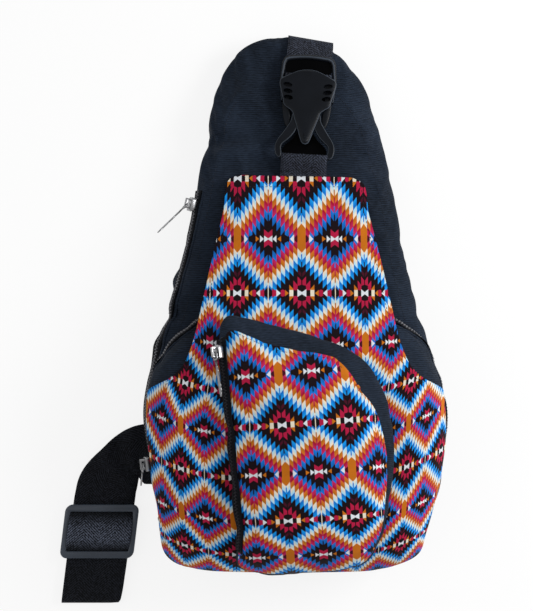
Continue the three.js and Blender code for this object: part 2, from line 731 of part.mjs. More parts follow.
// The buckle's own frame: x across, y along from the socket's bar to the plug, z off the bag
const heading = new THREE.Vector2(Math.sin(BUCKLE_LEAN), Math.cos(BUCKLE_LEAN));
const buckleSpot = (reach) => ({ x: BUCKLE_X + heading.x * reach, y: BUCKLE_Y + heading.y * reach });
const surface = (reach) => crown(main, buckleSpot(reach).x, buckleSpot(reach).y);
const slope = (surface(62) - surface(-14)) / 76;
let buckleLift = 0;
for (let reach = -30; reach <= BUCKLE_LENGTH; reach += 4) {
  buckleLift = Math.max(buckleLift, surface(reach) - slope * reach);
}
buckleLift += DRAPE;
const buckleAlong = new THREE.Vector3(heading.x, heading.y, slope).normalize();
const buckleAcross = new THREE.Vector3(heading.y, -heading.x, 0);
const buckleUp = buckleAcross.clone().cross(buckleAlong);
const buckle = new THREE.Group();
buckle.quaternion.setFromRotationMatrix(new THREE.Matrix4().makeBasis(buckleAcross, buckleAlong, buckleUp));
buckle.position.set(BUCKLE_X, BUCKLE_Y, buckleLift);
buckle.updateMatrix();
bag.add(buckle);

function twoSided(half) {
  const right = half.map(([x, y]) => new THREE.Vector2(x, y));
  const left = half.filter(([x]) => x > 0).map(([x, y]) => new THREE.Vector2(-x, y)).reverse();
  return { right, left };
}

// Socket: hood, shoulders, neck and two legs that carry the bar
const domeTop = SOCKET_MOUTH + DOME_RISE;
const socketSide = [
  [0, 0], [16, 0], [21, 1], [BUCKLE_HALF, 5], [21.5, 11.5], [16.5, 22], [12, 30], [NECK_HALF, 36],
  [12, SOCKET_SHOULDER - 3], [18.5, SOCKET_SHOULDER - 0.8], [22, SOCKET_SHOULDER + 3],
  [BUCKLE_HALF, (SOCKET_SHOULDER + 2.5 + SOCKET_MOUTH) / 2], [BUCKLE_HALF - 0.4, SOCKET_MOUTH],
  [BUCKLE_HALF - 4, SOCKET_MOUTH + 0.46 * DOME_RISE], [10, SOCKET_MOUTH + 0.87 * DOME_RISE], [0, domeTop],
];
const { right: socketRight, left: socketLeft } = twoSided(socketSide);
const socketShape = new THREE.Shape();
socketShape.moveTo(0, 0);
socketShape.lineTo(16, 0);
socketShape.splineThru([...socketRight.slice(2), ...socketLeft.slice(0, -1)]);
socketShape.lineTo(0, 0);
const opening = new THREE.Path();
const barTop = BAR_WIDTH;
opening.moveTo(-18.6, barTop);
opening.lineTo(18.6, barTop);
opening.lineTo(19.2, 7);
opening.lineTo(12.8, 20);
opening.quadraticCurveTo(9.5, 25, 5.4, 22.5);
opening.lineTo(4.4, 14.5);
opening.lineTo(-4.4, 14.5);
opening.lineTo(-5.4, 22.5);
opening.quadraticCurveTo(-9.5, 25, -12.8, 20);
opening.lineTo(-19.2, 7);
opening.lineTo(-18.6, barTop);
socketShape.holes.push(opening);
const socketRound = 1.3;
const socketBlank = new THREE.ExtrudeGeometry(socketShape, {
  depth: SOCKET_TOP - SOCKET_BASE - 2 * socketRound,
  bevelThickness: socketRound,
  bevelSize: socketRound,
  bevelOffset: -socketRound,
  bevelSegments: 2,
  curveSegments: 2,
});
socketBlank.translate(0, 0, SOCKET_BASE + socketRound);
const plugTop = PLUG_BASE + PLUG_THICKNESS;
const throatHalf = BUCKLE_HALF - SOCKET_WALL;
const slotFirst = SOCKET_SHOULDER + 1.5 * SLOT_WALL;
const slotPitch = (SOCKET_MOUTH - 0.75 * SLOT_WALL - slotFirst) / 3;
const slots = [];
for (const side of [-1, 1]) {
  for (let i = 0; i < 3; i += 1) {
    const low = slotFirst + slotPitch * i;
    const high = low + slotPitch - SLOT_WALL;
    const [near, far] = [side * 12.5, side * 19.4];
    slots.push(block(Math.min(near, far), Math.max(near, far), low, high, plugTop, SOCKET_TOP + 1));
  }
}
piece(
  "buckle_socket",
  cut(
    socketBlank,
    block(-throatHalf, throatHalf, 37, domeTop + 4, PLUG_BASE - FIT, plugTop + FIT),
    block(-BUCKLE_HALF - 4, BUCKLE_HALF + 4, SOCKET_MOUTH, domeTop + 4, 0, plugTop + WEB_THICKNESS + 2 * FIT),
    block(-GUIDE_HALF - FIT, GUIDE_HALF + FIT, 25, 40, PLUG_BASE - FIT, plugTop + FIT),
    block(-18.6, 18.6, -2, barTop + 1, 0, PLUG_BASE),
    block(-18.6, 18.6, -2, barTop + 1, plugTop, SOCKET_TOP + 2),
    ...slots,
  ),
  plastic,
  buckle,
);

// Plug: frame with a webbing bar, base, middle guide and two prongs with press tabs
const plugBar = SOCKET_MOUTH + PLUG_BAR_GAP;
const plugBarEnd = plugBar + BAR_WIDTH;
const slotHalf = WEB_WIDTH / 2 + 0.4;
const prong = throatHalf - FIT;
const plugShape = new THREE.Shape();
plugShape.moveTo(0, 27);
plugShape.lineTo(GUIDE_HALF - 1.5, 27);
plugShape.lineTo(GUIDE_HALF, 30);
plugShape.lineTo(GUIDE_HALF, SOCKET_MOUTH - PLUG_ROOT);
plugShape.lineTo(13.5, SOCKET_MOUTH - PLUG_ROOT);
plugShape.lineTo(13, 40);
plugShape.lineTo(14, 33);
plugShape.lineTo(18, 31);
plugShape.quadraticCurveTo(prong, 36, prong, 42);
plugShape.lineTo(prong, SOCKET_MOUTH + FIT);
plugShape.lineTo(BUCKLE_HALF - 1, SOCKET_MOUTH + FIT);
plugShape.lineTo(BUCKLE_HALF - 0.6, plugBarEnd + BAR_WIDTH);
plugShape.lineTo(BUCKLE_HALF - 1.6, BUCKLE_LENGTH - 4);
plugShape.quadraticCurveTo(BUCKLE_HALF - 2, BUCKLE_LENGTH, BUCKLE_HALF - 6, BUCKLE_LENGTH);
plugShape.lineTo(0, BUCKLE_LENGTH);
const rightSide = plugShape.getPoints(4);
const leftSide = rightSide.slice(1, -1).map((p) => new THREE.Vector2(-p.x, p.y)).reverse();
const plugOutline = new THREE.Shape([...rightSide, ...leftSide]);
const slotBetween = (low, high) => new THREE.Path([
  new THREE.Vector2(-slotHalf, low), new THREE.Vector2(slotHalf, low),
  new THREE.Vector2(slotHalf, high), new THREE.Vector2(-slotHalf, high),
]);
plugOutline.holes.push(slotBetween(plugBar - 2.3, plugBar));
plugOutline.holes.push(slotBetween(plugBarEnd, BUCKLE_LENGTH - 4));
const plugBlank = new THREE.ExtrudeGeometry(plugOutline, { depth: PLUG_THICKNESS, bevelEnabled: false });
plugBlank.translate(0, 0, PLUG_BASE);
piece("buckle_plug", plugBlank, plastic, buckle);

// Webbing in the buckle's frame: a smooth line of (along, off the bag)
const inBuckle = (line) => line.map(([reach, lift]) => (
  new THREE.Vector3(0, reach, lift).applyMatrix4(buckle.matrix)
));
const asRibbon = (points) => points.map((point) => ({ point, across: buckleAcross }));
const overBar = plugTop + FIT + WEB_THICKNESS / 2;
const underBar = PLUG_BASE - FIT - WEB_THICKNESS / 2;
const layer = WEB_THICKNESS / 2 + 0.1;
const side = WEB_THICKNESS / 2 + 0.4;
const topHeading = headingAt(main, 0, BAG_OUTLINE.at(-1)[0] - 1.4, 1);
const overTop = [-24, -12, 0, 10, 19].map((angle) => (
  onCap(main, topHeading, degrees(angle), -WEB_THICKNESS / 2 - 2.8 * DRAPE)
));
piece(
  "top_webbing",
  ribbon(
    asRibbon([
      ...overTop,
      ...inBuckle([
        [BUCKLE_LENGTH - 1, underBar], [plugBarEnd + side + 2, underBar], [plugBarEnd + side + 0.5, underBar + 0.5],
        [plugBarEnd + side, underBar + 2], [plugBarEnd + side, overBar - 0.6], [plugBarEnd + side - 0.6, overBar],
        [plugBar - side + 0.6, overBar], [plugBar - side, overBar - 0.6],
        [plugBar - side, layer + 0.7], [plugBar - side + 0.7, layer], [plugBar + PLUG_FOLD, layer],
      ]),
    ]),
    WEB_WIDTH, WEB_THICKNESS,
  ),
  webbing,
);
piece(
  "lower_webbing",
  ribbon(
    asRibbon(inBuckle([
      [-LOWER_TAIL, layer], [-LOWER_FOLD, layer], [-LOWER_FOLD / 2.3, layer + 0.6], [-1, underBar],
      [barTop + side - 0.6, underBar], [barTop + side, underBar + 0.6], [barTop + side, overBar - 0.6],
      [barTop + side - 0.6, overBar], [-1, overBar],
      [-LOWER_FOLD / 2, 5.4], [-LOWER_FOLD / 1.27, layer + WEB_THICKNESS + 1],
      [-LOWER_FOLD, layer + WEB_THICKNESS + FIT],
    ])),
    WEB_WIDTH, WEB_THICKNESS,
  ),
  webbing,
);

export default bag;
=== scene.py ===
# %% [markdown]
# # A sling backpack
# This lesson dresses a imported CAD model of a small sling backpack. The hard facts (sizes, bodies,
# joints) come from the frame; here the cloth gets its folds, the zips their teeth and every surface its
# finish. The bag lies on its back: X runs to the right, Y to the top of the bag and Z out of its
# printed front, in metres.

# %% Load the frame
import math

import bmesh
import bpy
import numpy as np
from mathutils import Matrix, Vector
from mathutils.bvhtree import BVHTree


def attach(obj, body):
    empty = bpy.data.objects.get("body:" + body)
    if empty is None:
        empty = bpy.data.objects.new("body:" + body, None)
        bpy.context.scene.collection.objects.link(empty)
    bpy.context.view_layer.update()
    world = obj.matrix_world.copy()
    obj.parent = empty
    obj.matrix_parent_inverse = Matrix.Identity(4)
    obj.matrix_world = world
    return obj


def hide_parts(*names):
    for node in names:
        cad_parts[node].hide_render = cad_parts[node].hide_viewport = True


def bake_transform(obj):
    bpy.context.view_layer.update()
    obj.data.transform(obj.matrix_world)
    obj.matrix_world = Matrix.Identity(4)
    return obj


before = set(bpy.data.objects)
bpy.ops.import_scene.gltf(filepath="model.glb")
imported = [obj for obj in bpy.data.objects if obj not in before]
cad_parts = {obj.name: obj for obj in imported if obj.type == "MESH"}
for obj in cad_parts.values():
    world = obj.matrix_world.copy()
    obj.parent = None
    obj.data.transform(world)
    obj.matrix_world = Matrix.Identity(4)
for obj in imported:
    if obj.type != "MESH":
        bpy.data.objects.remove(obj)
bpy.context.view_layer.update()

MM = 0.001

# %% [markdown]
# ## Camera, floor and light
# The picture was taken straight onto the front, so the camera hangs above the lying bag and looks down
# with a long lens. A vertical fit keeps the framing tied to the picture's height. The floor is plain
# and pale, and light comes from a pale sky with two large soft lamps, so colours come out about as they
# are written.

# %% Camera
PHOTO_LENS = 76.07
CAMERA_PLACE = (-0.0236, 0.169, 1.6)
scene = bpy.context.scene
scene.view_settings.view_transform = "Standard"
lens = bpy.data.cameras.new("photo_camera")
lens.sensor_fit = "VERTICAL"
lens.sensor_height = 24
lens.lens = PHOTO_LENS
camera = bpy.data.objects.new("photo_camera", lens)
camera.location = CAMERA_PLACE
scene.collection.objects.link(camera)
scene.camera = camera
print("camera", tuple(camera.location), "lens", lens.lens)

# %% Soft lamps
def soft_lamp(name, place, target, size, power):
    """A square area lamp that looks at a target point."""
    lamp = bpy.data.lights.new(name, "AREA")
    lamp.size = size
    lamp.energy = power
    holder = bpy.data.objects.new(name, lamp)
    holder.location = place
    holder.rotation_euler = (Vector(target) - Vector(place)).to_track_quat("-Z", "Y").to_euler()
    scene.collection.objects.link(holder)


BAG_MIDDLE = (0, 0.15, 0.03)
soft_lamp("window_light", (1.1, 0.5, 0.8), BAG_MIDDLE, 0.6, 15.0)
soft_lamp("fill_light", (-0.9, 0.2, 1.1), BAG_MIDDLE, 1.0, 2.0)

# %% [markdown]
# ## Shader sums as Python
# Node trees get hard to read when every multiplication is a box to wire. A small class can stand for
# one socket and build the Math nodes itself, so a weave reads like a formula. Everything that isn't
# arithmetic goes through `make`, which takes a node's kind, its settings and then its sockets.

# %% A socket that does arithmetic
class Thread:
    """One output socket of a node tree."""

    def __init__(self, tree, socket=None):
        self.tree = tree
        self.socket = socket

    def make(self, kind, settings=None, sockets=None, out=0):
        """Adds a node: its settings first, then the values or links of its sockets."""
        node = self.tree.nodes.new(kind)
        for name, value in (settings or {}).items():
            setattr(node, name, value)
        for name, value in (sockets or {}).items():
            if isinstance(value, Thread):
                self.tree.links.new(value.socket, node.inputs[name])
            else:
                node.inputs[name].default_value = value
        return Thread(self.tree, node.outputs[out])

    def sum(self, operation, *values):
        """One Math node over these values."""
        return self.make("ShaderNodeMath", {"operation": operation}, dict(enumerate(values)))

    def __add__(self, other):
        return self.sum("ADD", self, other)

    def __radd__(self, other):
        return self.sum("ADD", other, self)

    def __sub__(self, other):
        return self.sum("SUBTRACT", self, other)

    def __rsub__(self, other):
        return self.sum("SUBTRACT", other, self)

    def __mul__(self, other):
        return self.sum("MULTIPLY", self, other)

    def __rmul__(self, other):
        return self.sum("MULTIPLY", other, self)

    def __truediv__(self, other):
        return self.sum("DIVIDE", self, other)

    def __gt__(self, other):
        return self.sum("GREATER_THAN", self, other)

    def __lt__(self, other):
        return self.sum("LESS_THAN", self, other)

    def __abs__(self):
        return self.sum("ABSOLUTE", self)

    def __floor__(self):
        return self.sum("FLOOR", self)

    def wave(self, length):
        """A sine that repeats after a length."""
        return self.sum("SINE", self * (2 * math.pi / length))

    def positive(self):
        """This value, but never below nought."""
        return self.sum("MAXIMUM", self, 0.0)

    def repeat(self, half):
        """Wraps a value into -half to half."""
        return self.sum("WRAP", self, half, -half)

    def smooth(self, low, high):
        """0 below low, 1 above high, eased between them."""
        return self.make(
            "ShaderNodeMapRange", {"interpolation_type": "SMOOTHSTEP"}, {0: self, 1: low, 2: high}
        )

    def blend(self, low, high):
        """A colour between two, with this socket as the share of the second."""
        sockets = {0: self, 6: low, 7: high}
        return self.make("ShaderNodeMix", {"data_type": "RGBA"}, sockets, 2)


def colour(red, green, blue):
    """A colour written as 0 to 255 in the way screens show it, as linear light."""
    shares = [c / 255 for c in (red, green, blue)]
    return (*(c / 12.92 if c < 0.04045 else ((c + 0.055) / 1.055) ** 2.4 for c in shares), 1)


print("a mid grey is", tuple(round(c, 3) for c in colour(128, 128, 128)))

# %% A finish starts from one shader
def finish(name, roughness, **constants):
    """A new material, its tree as a Thread, and its main shader node with constant sockets set."""
    material = bpy.data.materials.new(name)
    material.use_nodes = True
    shader = material.node_tree.nodes["Principled BSDF"]
    shader.inputs["Roughness"].default_value = roughness
    for socket, value in constants.items():
        shader.inputs[socket.replace("_", " ")].default_value = value
    return material, Thread(material.node_tree), shader


def feed(shader, socket, value):
    """Links a Thread to one of the shader's sockets."""
    shader.id_data.links.new(value.socket, shader.inputs[socket])


def cloth_place(tree):
    """The two flat directions of the cloth, in millimetres, from the piece's own layout."""
    flat = tree.make("ShaderNodeUVMap", {"uv_map": "cloth"})
    across = tree.make("ShaderNodeSeparateXYZ", None, {0: flat}, 0)
    along = Thread(tree.tree, across.socket.node.outputs[1])
    return across * 1000, along * 1000


def object_place(tree):
    """Object coordinates as one vector, in metres."""
    return tree.make("ShaderNodeTexCoord", None, None, "Object")


def speckle(tree, place, scale, detail=2.0):
    """Soft noise over a place, finer with a larger scale."""
    return tree.make("ShaderNodeTexNoise", None, {"Vector": place, "Scale": scale, "Detail": detail})


def relief(tree, shader, height, distance, strength=1.0):
    """Bump from a height, feeding the shader's normal."""
    bump = tree.make("ShaderNodeBump", None, {"Height": height, "Distance": distance, "Strength": strength})
    feed(shader, "Normal", bump)


# %% Floor and sky
FLOOR_DROP = -0.0006
FLOOR_GLOW = 0.84
SKY_STRENGTH = 0.5
floor_mesh = bmesh.new()
bmesh.ops.create_grid(floor_mesh, x_segments=8, y_segments=8, size=4)
floor_data = bpy.data.meshes.new("floor")
floor_mesh.to_mesh(floor_data)
floor_mesh.free()
floor_data.transform(Matrix.Translation((0, 0, FLOOR_DROP)))
floor = bpy.data.objects.new("floor", floor_data)
scene.collection.objects.link(floor)
floor_finish, tree, shader = finish("pale_floor", 0.9)
dust = speckle(tree, object_place(tree), 3.0)
feed(shader, "Base Color", dust.blend(colour(250, 250, 250), colour(253, 253, 253)))
# What the camera sees of the floor is mostly plain white, with the bag's shadow left in
path = tree.make("ShaderNodeLightPath")
seen = path + Thread(tree.tree, path.socket.node.outputs["Is Glossy Ray"])
seen = seen + Thread(tree.tree, path.socket.node.outputs["Is Transmission Ray"])
glow = tree.make("ShaderNodeEmission", None, {"Color": (1, 1, 1, 1), "Strength": 1.0})
mixed = tree.make(
    "ShaderNodeMixShader", None, {0: seen * FLOOR_GLOW, 1: Thread(tree.tree, shader.outputs[0]), 2: glow})
tree.tree.links.new(mixed.socket, tree.tree.nodes["Material Output"].inputs["Surface"])
floor_data.materials.append(floor_finish)

world = bpy.data.worlds.new("studio")
scene.world = world
world.use_nodes = True
sky = world.node_tree.nodes["Background"]
sky.inputs["Color"].default_value = (1, 1, 1, 1)
sky.inputs["Strength"].default_value = SKY_STRENGTH
print("floor and sky ready")

# %% [markdown]
# ## Navy-black canvas
# The body is a ribbed canvas: fine cross ribs, a little blue in the black and a dull sheen. The ribs
# could be a picture, but a sine of the cloth's own flat layout stays sharp at any size and follows each
# panel's cut.

# %% Canvas finish
def streaks(tree, place, scale):
    """Noise that is drawn out along the axes with the smaller scales."""
    stretch = tree.make("ShaderNodeMapping", None, {"Vector": place, "Scale": scale})
    return speckle(tree, stretch, 1.0)


def ribbed_canvas(name, dark, light, rib=1.5, warp=0.62):
    """Cross ribs over a fine warp, both by their pitch, with uneven yarns and a slow cloud of shade."""
    material, tree, shader = finish(
        name, 0.82, Sheen_Weight=0.03, Sheen_Roughness=0.4, Specular_IOR_Level=0.1)
    across, along = cloth_place(tree)
    place = object_place(tree)
    wander = speckle(tree, place, 90.0, 3.0)
    weave = (along + wander * 0.5).wave(rib) * 0.75 + across.wave(warp) * 0.25
    cloud = speckle(tree, place, 22.0, 4.0)
    # Thick and thin yarns run along the ribs
    slub = streaks(tree, place, (260.0, 1100.0, 260.0))
    grain = weave * 0.24 + (slub - 0.5) * 0.8 + cloud * 0.7 + 0.05
    feed(shader, "Base Color", grain.positive().blend(dark, light))
    feed(shader, "Roughness", 0.78 + cloud * 0.14)
    relief(tree, shader, weave * 0.5 + wander * 0.5 + slub, 0.00025, 0.8)
    return material


canvas = ribbed_canvas("ribbed_canvas", colour(8, 12, 17), colour(44, 55, 72))
tape_cloth = ribbed_canvas("zip_tape_cloth", colour(5, 6, 9), colour(20, 23, 30), 1.0)
print("canvas finishes", canvas.name, tape_cloth.name)

# %% [markdown]
# ## The printed cloth
# The print is a traditional stepped-diamond weave: two kinds of diamond alternate like a chequerboard,
# and every edge is cut into narrow columns with pointed tips, as if woven on a loom. Folding the flat
# coordinates into one quarter of a repeat leaves a single sum, the height plus the column's own step.
# Each colour is a band of that sum that goes from one shade to another, and the small motifs are laid
# over the bands one by one.

# %% Print colours and repeat
HALF_WIDE = 26.4
HALF_TALL = 44.3
COLUMN = 3.3
TIP_SLOPE = 1.15
BAND_TALL = 6.0
PRINT_BLUR = 0.35
THREAD_PITCH = 0.55
INK = colour(19, 6, 12)
WHITE = colour(216, 220, 226)
CREAM = colour(226, 216, 196)
GOLD = colour(190, 106, 18)
CRIMSON = colour(172, 22, 62)
WINE = colour(66, 8, 30)
# Each colour starts at a height of the sum, in millimetres, and has one shade at each of its edges
BANDS = [
    (24.0, colour(14, 148, 228), colour(4, 104, 196)),
    (30.1, colour(160, 214, 240), colour(236, 216, 190)),
    (36.6, colour(172, 104, 8), colour(212, 108, 40)),
    (42.0, colour(158, 15, 40), colour(188, 32, 88)),
    (48.9, colour(24, 112, 206), colour(4, 98, 178)),
    (54.8, INK, INK),
]
print("one repeat is", 2 * HALF_WIDE, "by", 2 * HALF_TALL, "mm, with", len(BANDS), "bands")

# %% Print finish
def stepped_print(name):
    """The stepped diamonds, painted over ink: the bands first, then the motifs."""
    material, tree, shader = finish(name, 0.78, Sheen_Weight=0.02, Specular_IOR_Level=0.12)
    across, along = cloth_place(tree)
    x = abs(across.repeat(HALF_WIDE))
    y = abs(along.repeat(HALF_TALL))
    x2 = HALF_WIDE - x
    y2 = HALF_TALL - y
    count = math.floor(x / COLUMN)
    middle = (count + 0.5) * COLUMN
    rise = y + middle - (x - middle) * TIP_SLOPE
    # The two middle lines carry the next colour along, one band further than their neighbours
    drift = rise + ((x2 < 0.5) - (x < 0.5)) * 5.0
    paint = INK
    for edge, near, far in BANDS:
        shade = drift.smooth(edge, edge + BAND_TALL).blend(near, far)
        paint = drift.smooth(edge - PRINT_BLUR, edge + PRINT_BLUR).blend(paint, shade)
    # Small diamond: a white bow between crimson wings
    wing = (x2 < 3.3) * (y2 < 4.6 + x2 * 0.75)
    paint = wing.blend(paint, CRIMSON)
    bow = (x2 < 3.3) * (y2 < 0.4 + x2 * 0.64)
    paint = bow.blend(paint, WHITE)
    # On its middle line: white, gold and white darts, an ink eye, a wine eye and the gold bar
    for low, high, tall, tint in ((3.4, 6.5, 2.7, WHITE), (7.2, 10.2, 2.3, GOLD), (17.2, 20.5, 3.4, WHITE)):
        dart = (x2 > low) * (x2 < high) * (y2 < (x2 - low) * (tall / (high - low)))
        paint = dart.blend(paint, tint)
    eye = (x2 > 10.2) * (x2 < 16.8) * (y2 < 3.0 - abs(x2 - 13.4) * 0.5)
    paint = eye.blend(paint, INK)
    eye = (x2 > 20.5) * (x > 3.3) * (y2 < (x2 - 19.5) * 0.9)
    paint = eye.blend(paint, WINE)
    bar = (x < 3.1) * (rise > 36.6)
    paint = bar.blend(paint, GOLD)
    # Large diamond: crimson petals with dark tips, gold and cream blocks, and a white bow
    heart = rise < 13.4
    petal = (x > 0.4) * (x < 2.9) * (rise > 16.2) * (rise < 19.4)
    paint = petal.blend(paint, WINE)
    petal = heart * (x > 0.4) * (x < 3.3) * (y > 7.0 - x * 0.3)
    petal = petal + heart * (x > 3.3) * (x < 6.6) * (y > 2.5)
    paint = petal.blend(paint, CRIMSON)
    block = heart * (x > 6.7) * (x < 9.8)
    paint = block.blend(paint, GOLD)
    block = (x > 6.7) * (x < 9.8) * (y < 2.6)
    paint = block.blend(paint, CREAM)
    bow = (x < 3.5) * (y < 0.9 + x * 0.66)
    paint = bow.blend(paint, WHITE)
    # Between two large diamonds: gold and white darts, two crimson collars, an ink lozenge with a pale line
    for low, high, tall, tint in ((10.2, 13.2, 2.6, GOLD), (16.6, 20.0, 3.2, WHITE)):
        dart = (x > low) * (x < high) * (y < (x - low) * (tall / (high - low)))
        paint = dart.blend(paint, tint)
    collar = (x > 13.4) * (x < 16.6) * (y < 3.0 - abs(x - 15.0) * 0.5)
    paint = collar.blend(paint, CRIMSON)
    collar = (x > 20.0) * (x < 23.3) * (y < 2.2 + (x - 20.0) * 0.3)
    paint = collar.blend(paint, CRIMSON)
    lozenge = (x2 < 3.2) * (y < 5.2 - x2)
    paint = lozenge.blend(paint, INK)
    line = (x2 < 0.34) * (y < 5.3)
    paint = line.blend(paint, CREAM)
    # Every thread of the weave catches a little light
    threads = (across.wave(THREAD_PITCH) + along.wave(THREAD_PITCH)) * 0.25
    cloud = speckle(tree, object_place(tree), 70.0, 3.0)
    shade = tree.make(
        "ShaderNodeHueSaturation", None, {"Value": 0.97 + threads * 0.1 + (cloud - 0.5) * 0.4, "Color": paint}
    )
    feed(shader, "Base Color", shade)
    feed(shader, "Roughness", 0.72 + cloud * 0.14)
    relief(tree, shader, threads + cloud * 0.6, 0.00012, 0.7)
    return material


printed = stepped_print("stepped_diamond_print")
print("print nodes", len(printed.node_tree.nodes))

# %% [markdown]
# ## Webbing, plastic, nylon coil and nickel
# The straps are flat webbing woven in a herringbone; where the strap humps up in its ring, a paler copy of
# the webbing paints the light on its crown, with painted shade towards its ends. The buckle and the ring are
# moulded plastic with faint flow marks. Marked points on the buckle's rims get a pale painted highlight, and
# the buckle's shaded inside gets a near-black, rough plastic as painted shade. The zip coil is dull nylon,
# painted paler for the highlights on its teeth, and the runners and their pulls are nickel plate, brightest
# where fingers rub.

# %% Webbing finish
STRAP_WIDE = 50
BUCKLE_WEB_WIDE = 37


def herringbone(name, dark, light, width, crown=None):
    """Zigzag ribs between plain edges; a crown is the place along the webbing that gets a painted highlight,
    with painted shade away from it.
    """
    material, tree, shader = finish(
        name, 0.75, Sheen_Weight=0.03, Sheen_Roughness=0.4, Specular_IOR_Level=0.12)
    across, along = cloth_place(tree)
    place = object_place(tree)
    stripe = width / 4
    zig = abs((across / stripe).repeat(1.0)) * stripe
    wander = speckle(tree, place, 140.0)
    weave = (along + zig * 0.9 + wander * 0.3).wave(2.2) * 0.65 + across.wave(1.3) * 0.35
    selvedge = abs(across).smooth(width / 2 - 2.4, width / 2 - 1.6)
    cloud = speckle(tree, place, 30.0, 3.0)
    fleck = speckle(tree, place, 700.0, 1.0)
    grain = weave * 0.42 + (fleck - 0.5) * 1.4 + cloud * 0.5 + selvedge * 0.1
    # Painted light: full brightness near the crown, darker away from it
    if crown:
        grain = grain * (1.1 - abs(along - crown).smooth(3.0, 16.0))
    feed(shader, "Base Color", grain.positive().blend(dark, light))
    feed(shader, "Roughness", 0.66 + cloud * 0.16)
    relief(tree, shader, weave * 0.5 + selvedge * 0.6, 0.0004, 0.9)
    return material


strap_web = herringbone("strap_webbing", colour(2, 3, 5), colour(44, 47, 56), STRAP_WIDE)
# The hump is a paler copy of the strap's webbing, for the painted light on its crown
lit_hump_web = herringbone("lit_hump_webbing", colour(6, 8, 11), colour(116, 124, 144), 52, crown=19)
buckle_web = herringbone("buckle_webbing", colour(8, 9, 13), colour(72, 78, 94), BUCKLE_WEB_WIDE)
print("webbing finishes", strap_web.name, lit_hump_web.name, buckle_web.name)

# %% Plastic finish
# Pale grey for the painted highlights on the buckle's rims
RIM_HIGHLIGHT_PAINT = colour(104, 114, 128)


def satin_plastic(name, dark, light, gloss):
    """Moulded plastic; marked points get a pale painted highlight."""
    material, tree, shader = finish(name, 0.36, Specular_IOR_Level=gloss)
    place = object_place(tree)
    flow = speckle(tree, place, 45.0, 5.0)
    grain = speckle(tree, place, 1400.0, 2.0)
    painted_highlight = tree.make("ShaderNodeAttribute", {"attribute_name": "painted_highlight"}, None, 2)
    body = flow.blend(dark, light)
    # Painted highlight: marked points blend towards the pale grey
    feed(shader, "Base Color", (painted_highlight * (0.2 + flow)).blend(body, RIM_HIGHLIGHT_PAINT))
    feed(shader, "Roughness", 0.27 + flow * 0.2 + grain * 0.05)
    relief(tree, shader, grain, 0.00004, 0.5)
    return material


plastic = satin_plastic("satin_acetal", colour(5, 8, 12), colour(14, 18, 26), 0.15)
# Painted shade: a near-black, rough plastic for the plates that stand for the shade inside the buckle
painted_shade_acetal = satin_plastic("painted_shade_acetal", colour(1, 1, 2), colour(4, 4, 5), 0.03)
ring_nylon = satin_plastic("ring_nylon", colour(32, 38, 48), colour(62, 72, 86), 0.5)
# The coil is dull nylon painted paler for the highlights on its teeth; the pocket's coil gets less of that
# paint
lit_coil_nylon = satin_plastic("lit_coil_nylon", colour(54, 54, 58), colour(150, 150, 156), 0.2)
dark_coil = satin_plastic("dark_coil", colour(14, 14, 16), colour(62, 62, 68), 0.14)
plastics = (plastic, painted_shade_acetal, ring_nylon, lit_coil_nylon, dark_coil)
print("plastic finishes", [p.name for p in plastics])

# %% Nickel finish
nickel, tree, shader = finish("nickel_plate", 0.25, Metallic=1.0)
place = object_place(tree)
touch = speckle(tree, place, 160.0, 4.0)
brush = streaks(tree, place, (900.0, 70.0, 900.0))
feed(shader, "Base Color", touch.blend(colour(118, 118, 120), colour(184, 184, 186)))
feed(shader, "Roughness", 0.16 + touch * 0.2 + brush * 0.08)
relief(tree, shader, brush, 0.00003, 0.4)
print("nickel nodes", len(nickel.node_tree.nodes))

# %% Sewing thread finish
thread, tree, shader = finish("sewing_thread", 0.6, Specular_IOR_Level=0.15)
twist = speckle(tree, object_place(tree), 900.0, 2.0)
feed(shader, "Base Color", twist.blend(colour(14, 15, 20), colour(52, 56, 66)))
feed(shader, "Roughness", 0.5 + twist * 0.2)
print("thread ready")

# %% [markdown]
# ## Outlines and stuffed compartments
# Each compartment is a cap: an outline seen from the front, a floor it lies on, and a rounded section
# whose shoulder falls steeply to the rim. These sums repeat the CAD model's, so that the cloth lands
# where the frame's solids are. The outlines are smooth closed curves through a few measured points; the
# stuffed bag slumps to its left, so its two halves differ.

# %% Outline points, in millimetres
BAG_OUTLINE = [
    (-41, 66, 70), (-28, 98, 103), (12, 111, 112), (78, 120.5, 123.5), (104, 117, 121), (136, 108, 112.5),
    (164, 99, 104), (212, 88, 91), (282, 75.5, 77), (338, 59.5, 66), (360, 47, 57), (374, 33.5, 46),
    (383, 17, 31), (387, 0, 0),
]
FRONT_OUTLINE = [
    (-41, 60, 76), (-36, 80, 95), (-27, 97, 104), (-12, 101.5, 107), (12, 109.5, 110), (30, 115.5, 115),
    (60, 120.5, 120), (92, 120, 121), (112, 117.5, 118), (128, 111, 110), (142, 102, 100), (154, 89, 87),
    (164, 70, 70), (176, 40, 40), (183, 0, 0),
]
POCKET_OUTLINE = [
    (-45, -36), (-28, -42), (2, -41.6), (50, -34), (64, -14), (72, 22), (75, 60), (67, 103),
    (50, 128), (20, 143), (-20, 154.5), (-46, 160.4), (-54.5, 160.8), (-60.2, 152.5), (-61, 140), (-58, 110),
    (-52, 50), (-47, 0),
]
BIB_TONGUE = [(104, 111), (112, 97.5), (122, 88), (142, 80), (166, 74.5), (202, 67), (241, 58), (272.5, 50)]


def both_sides(halves):
    """A closed outline from rows of height, right half and left half."""
    right_side = [(right, y) for y, right, _ in halves]
    return right_side + [(-left, y) for y, _, left in reversed(halves) if left > 0]


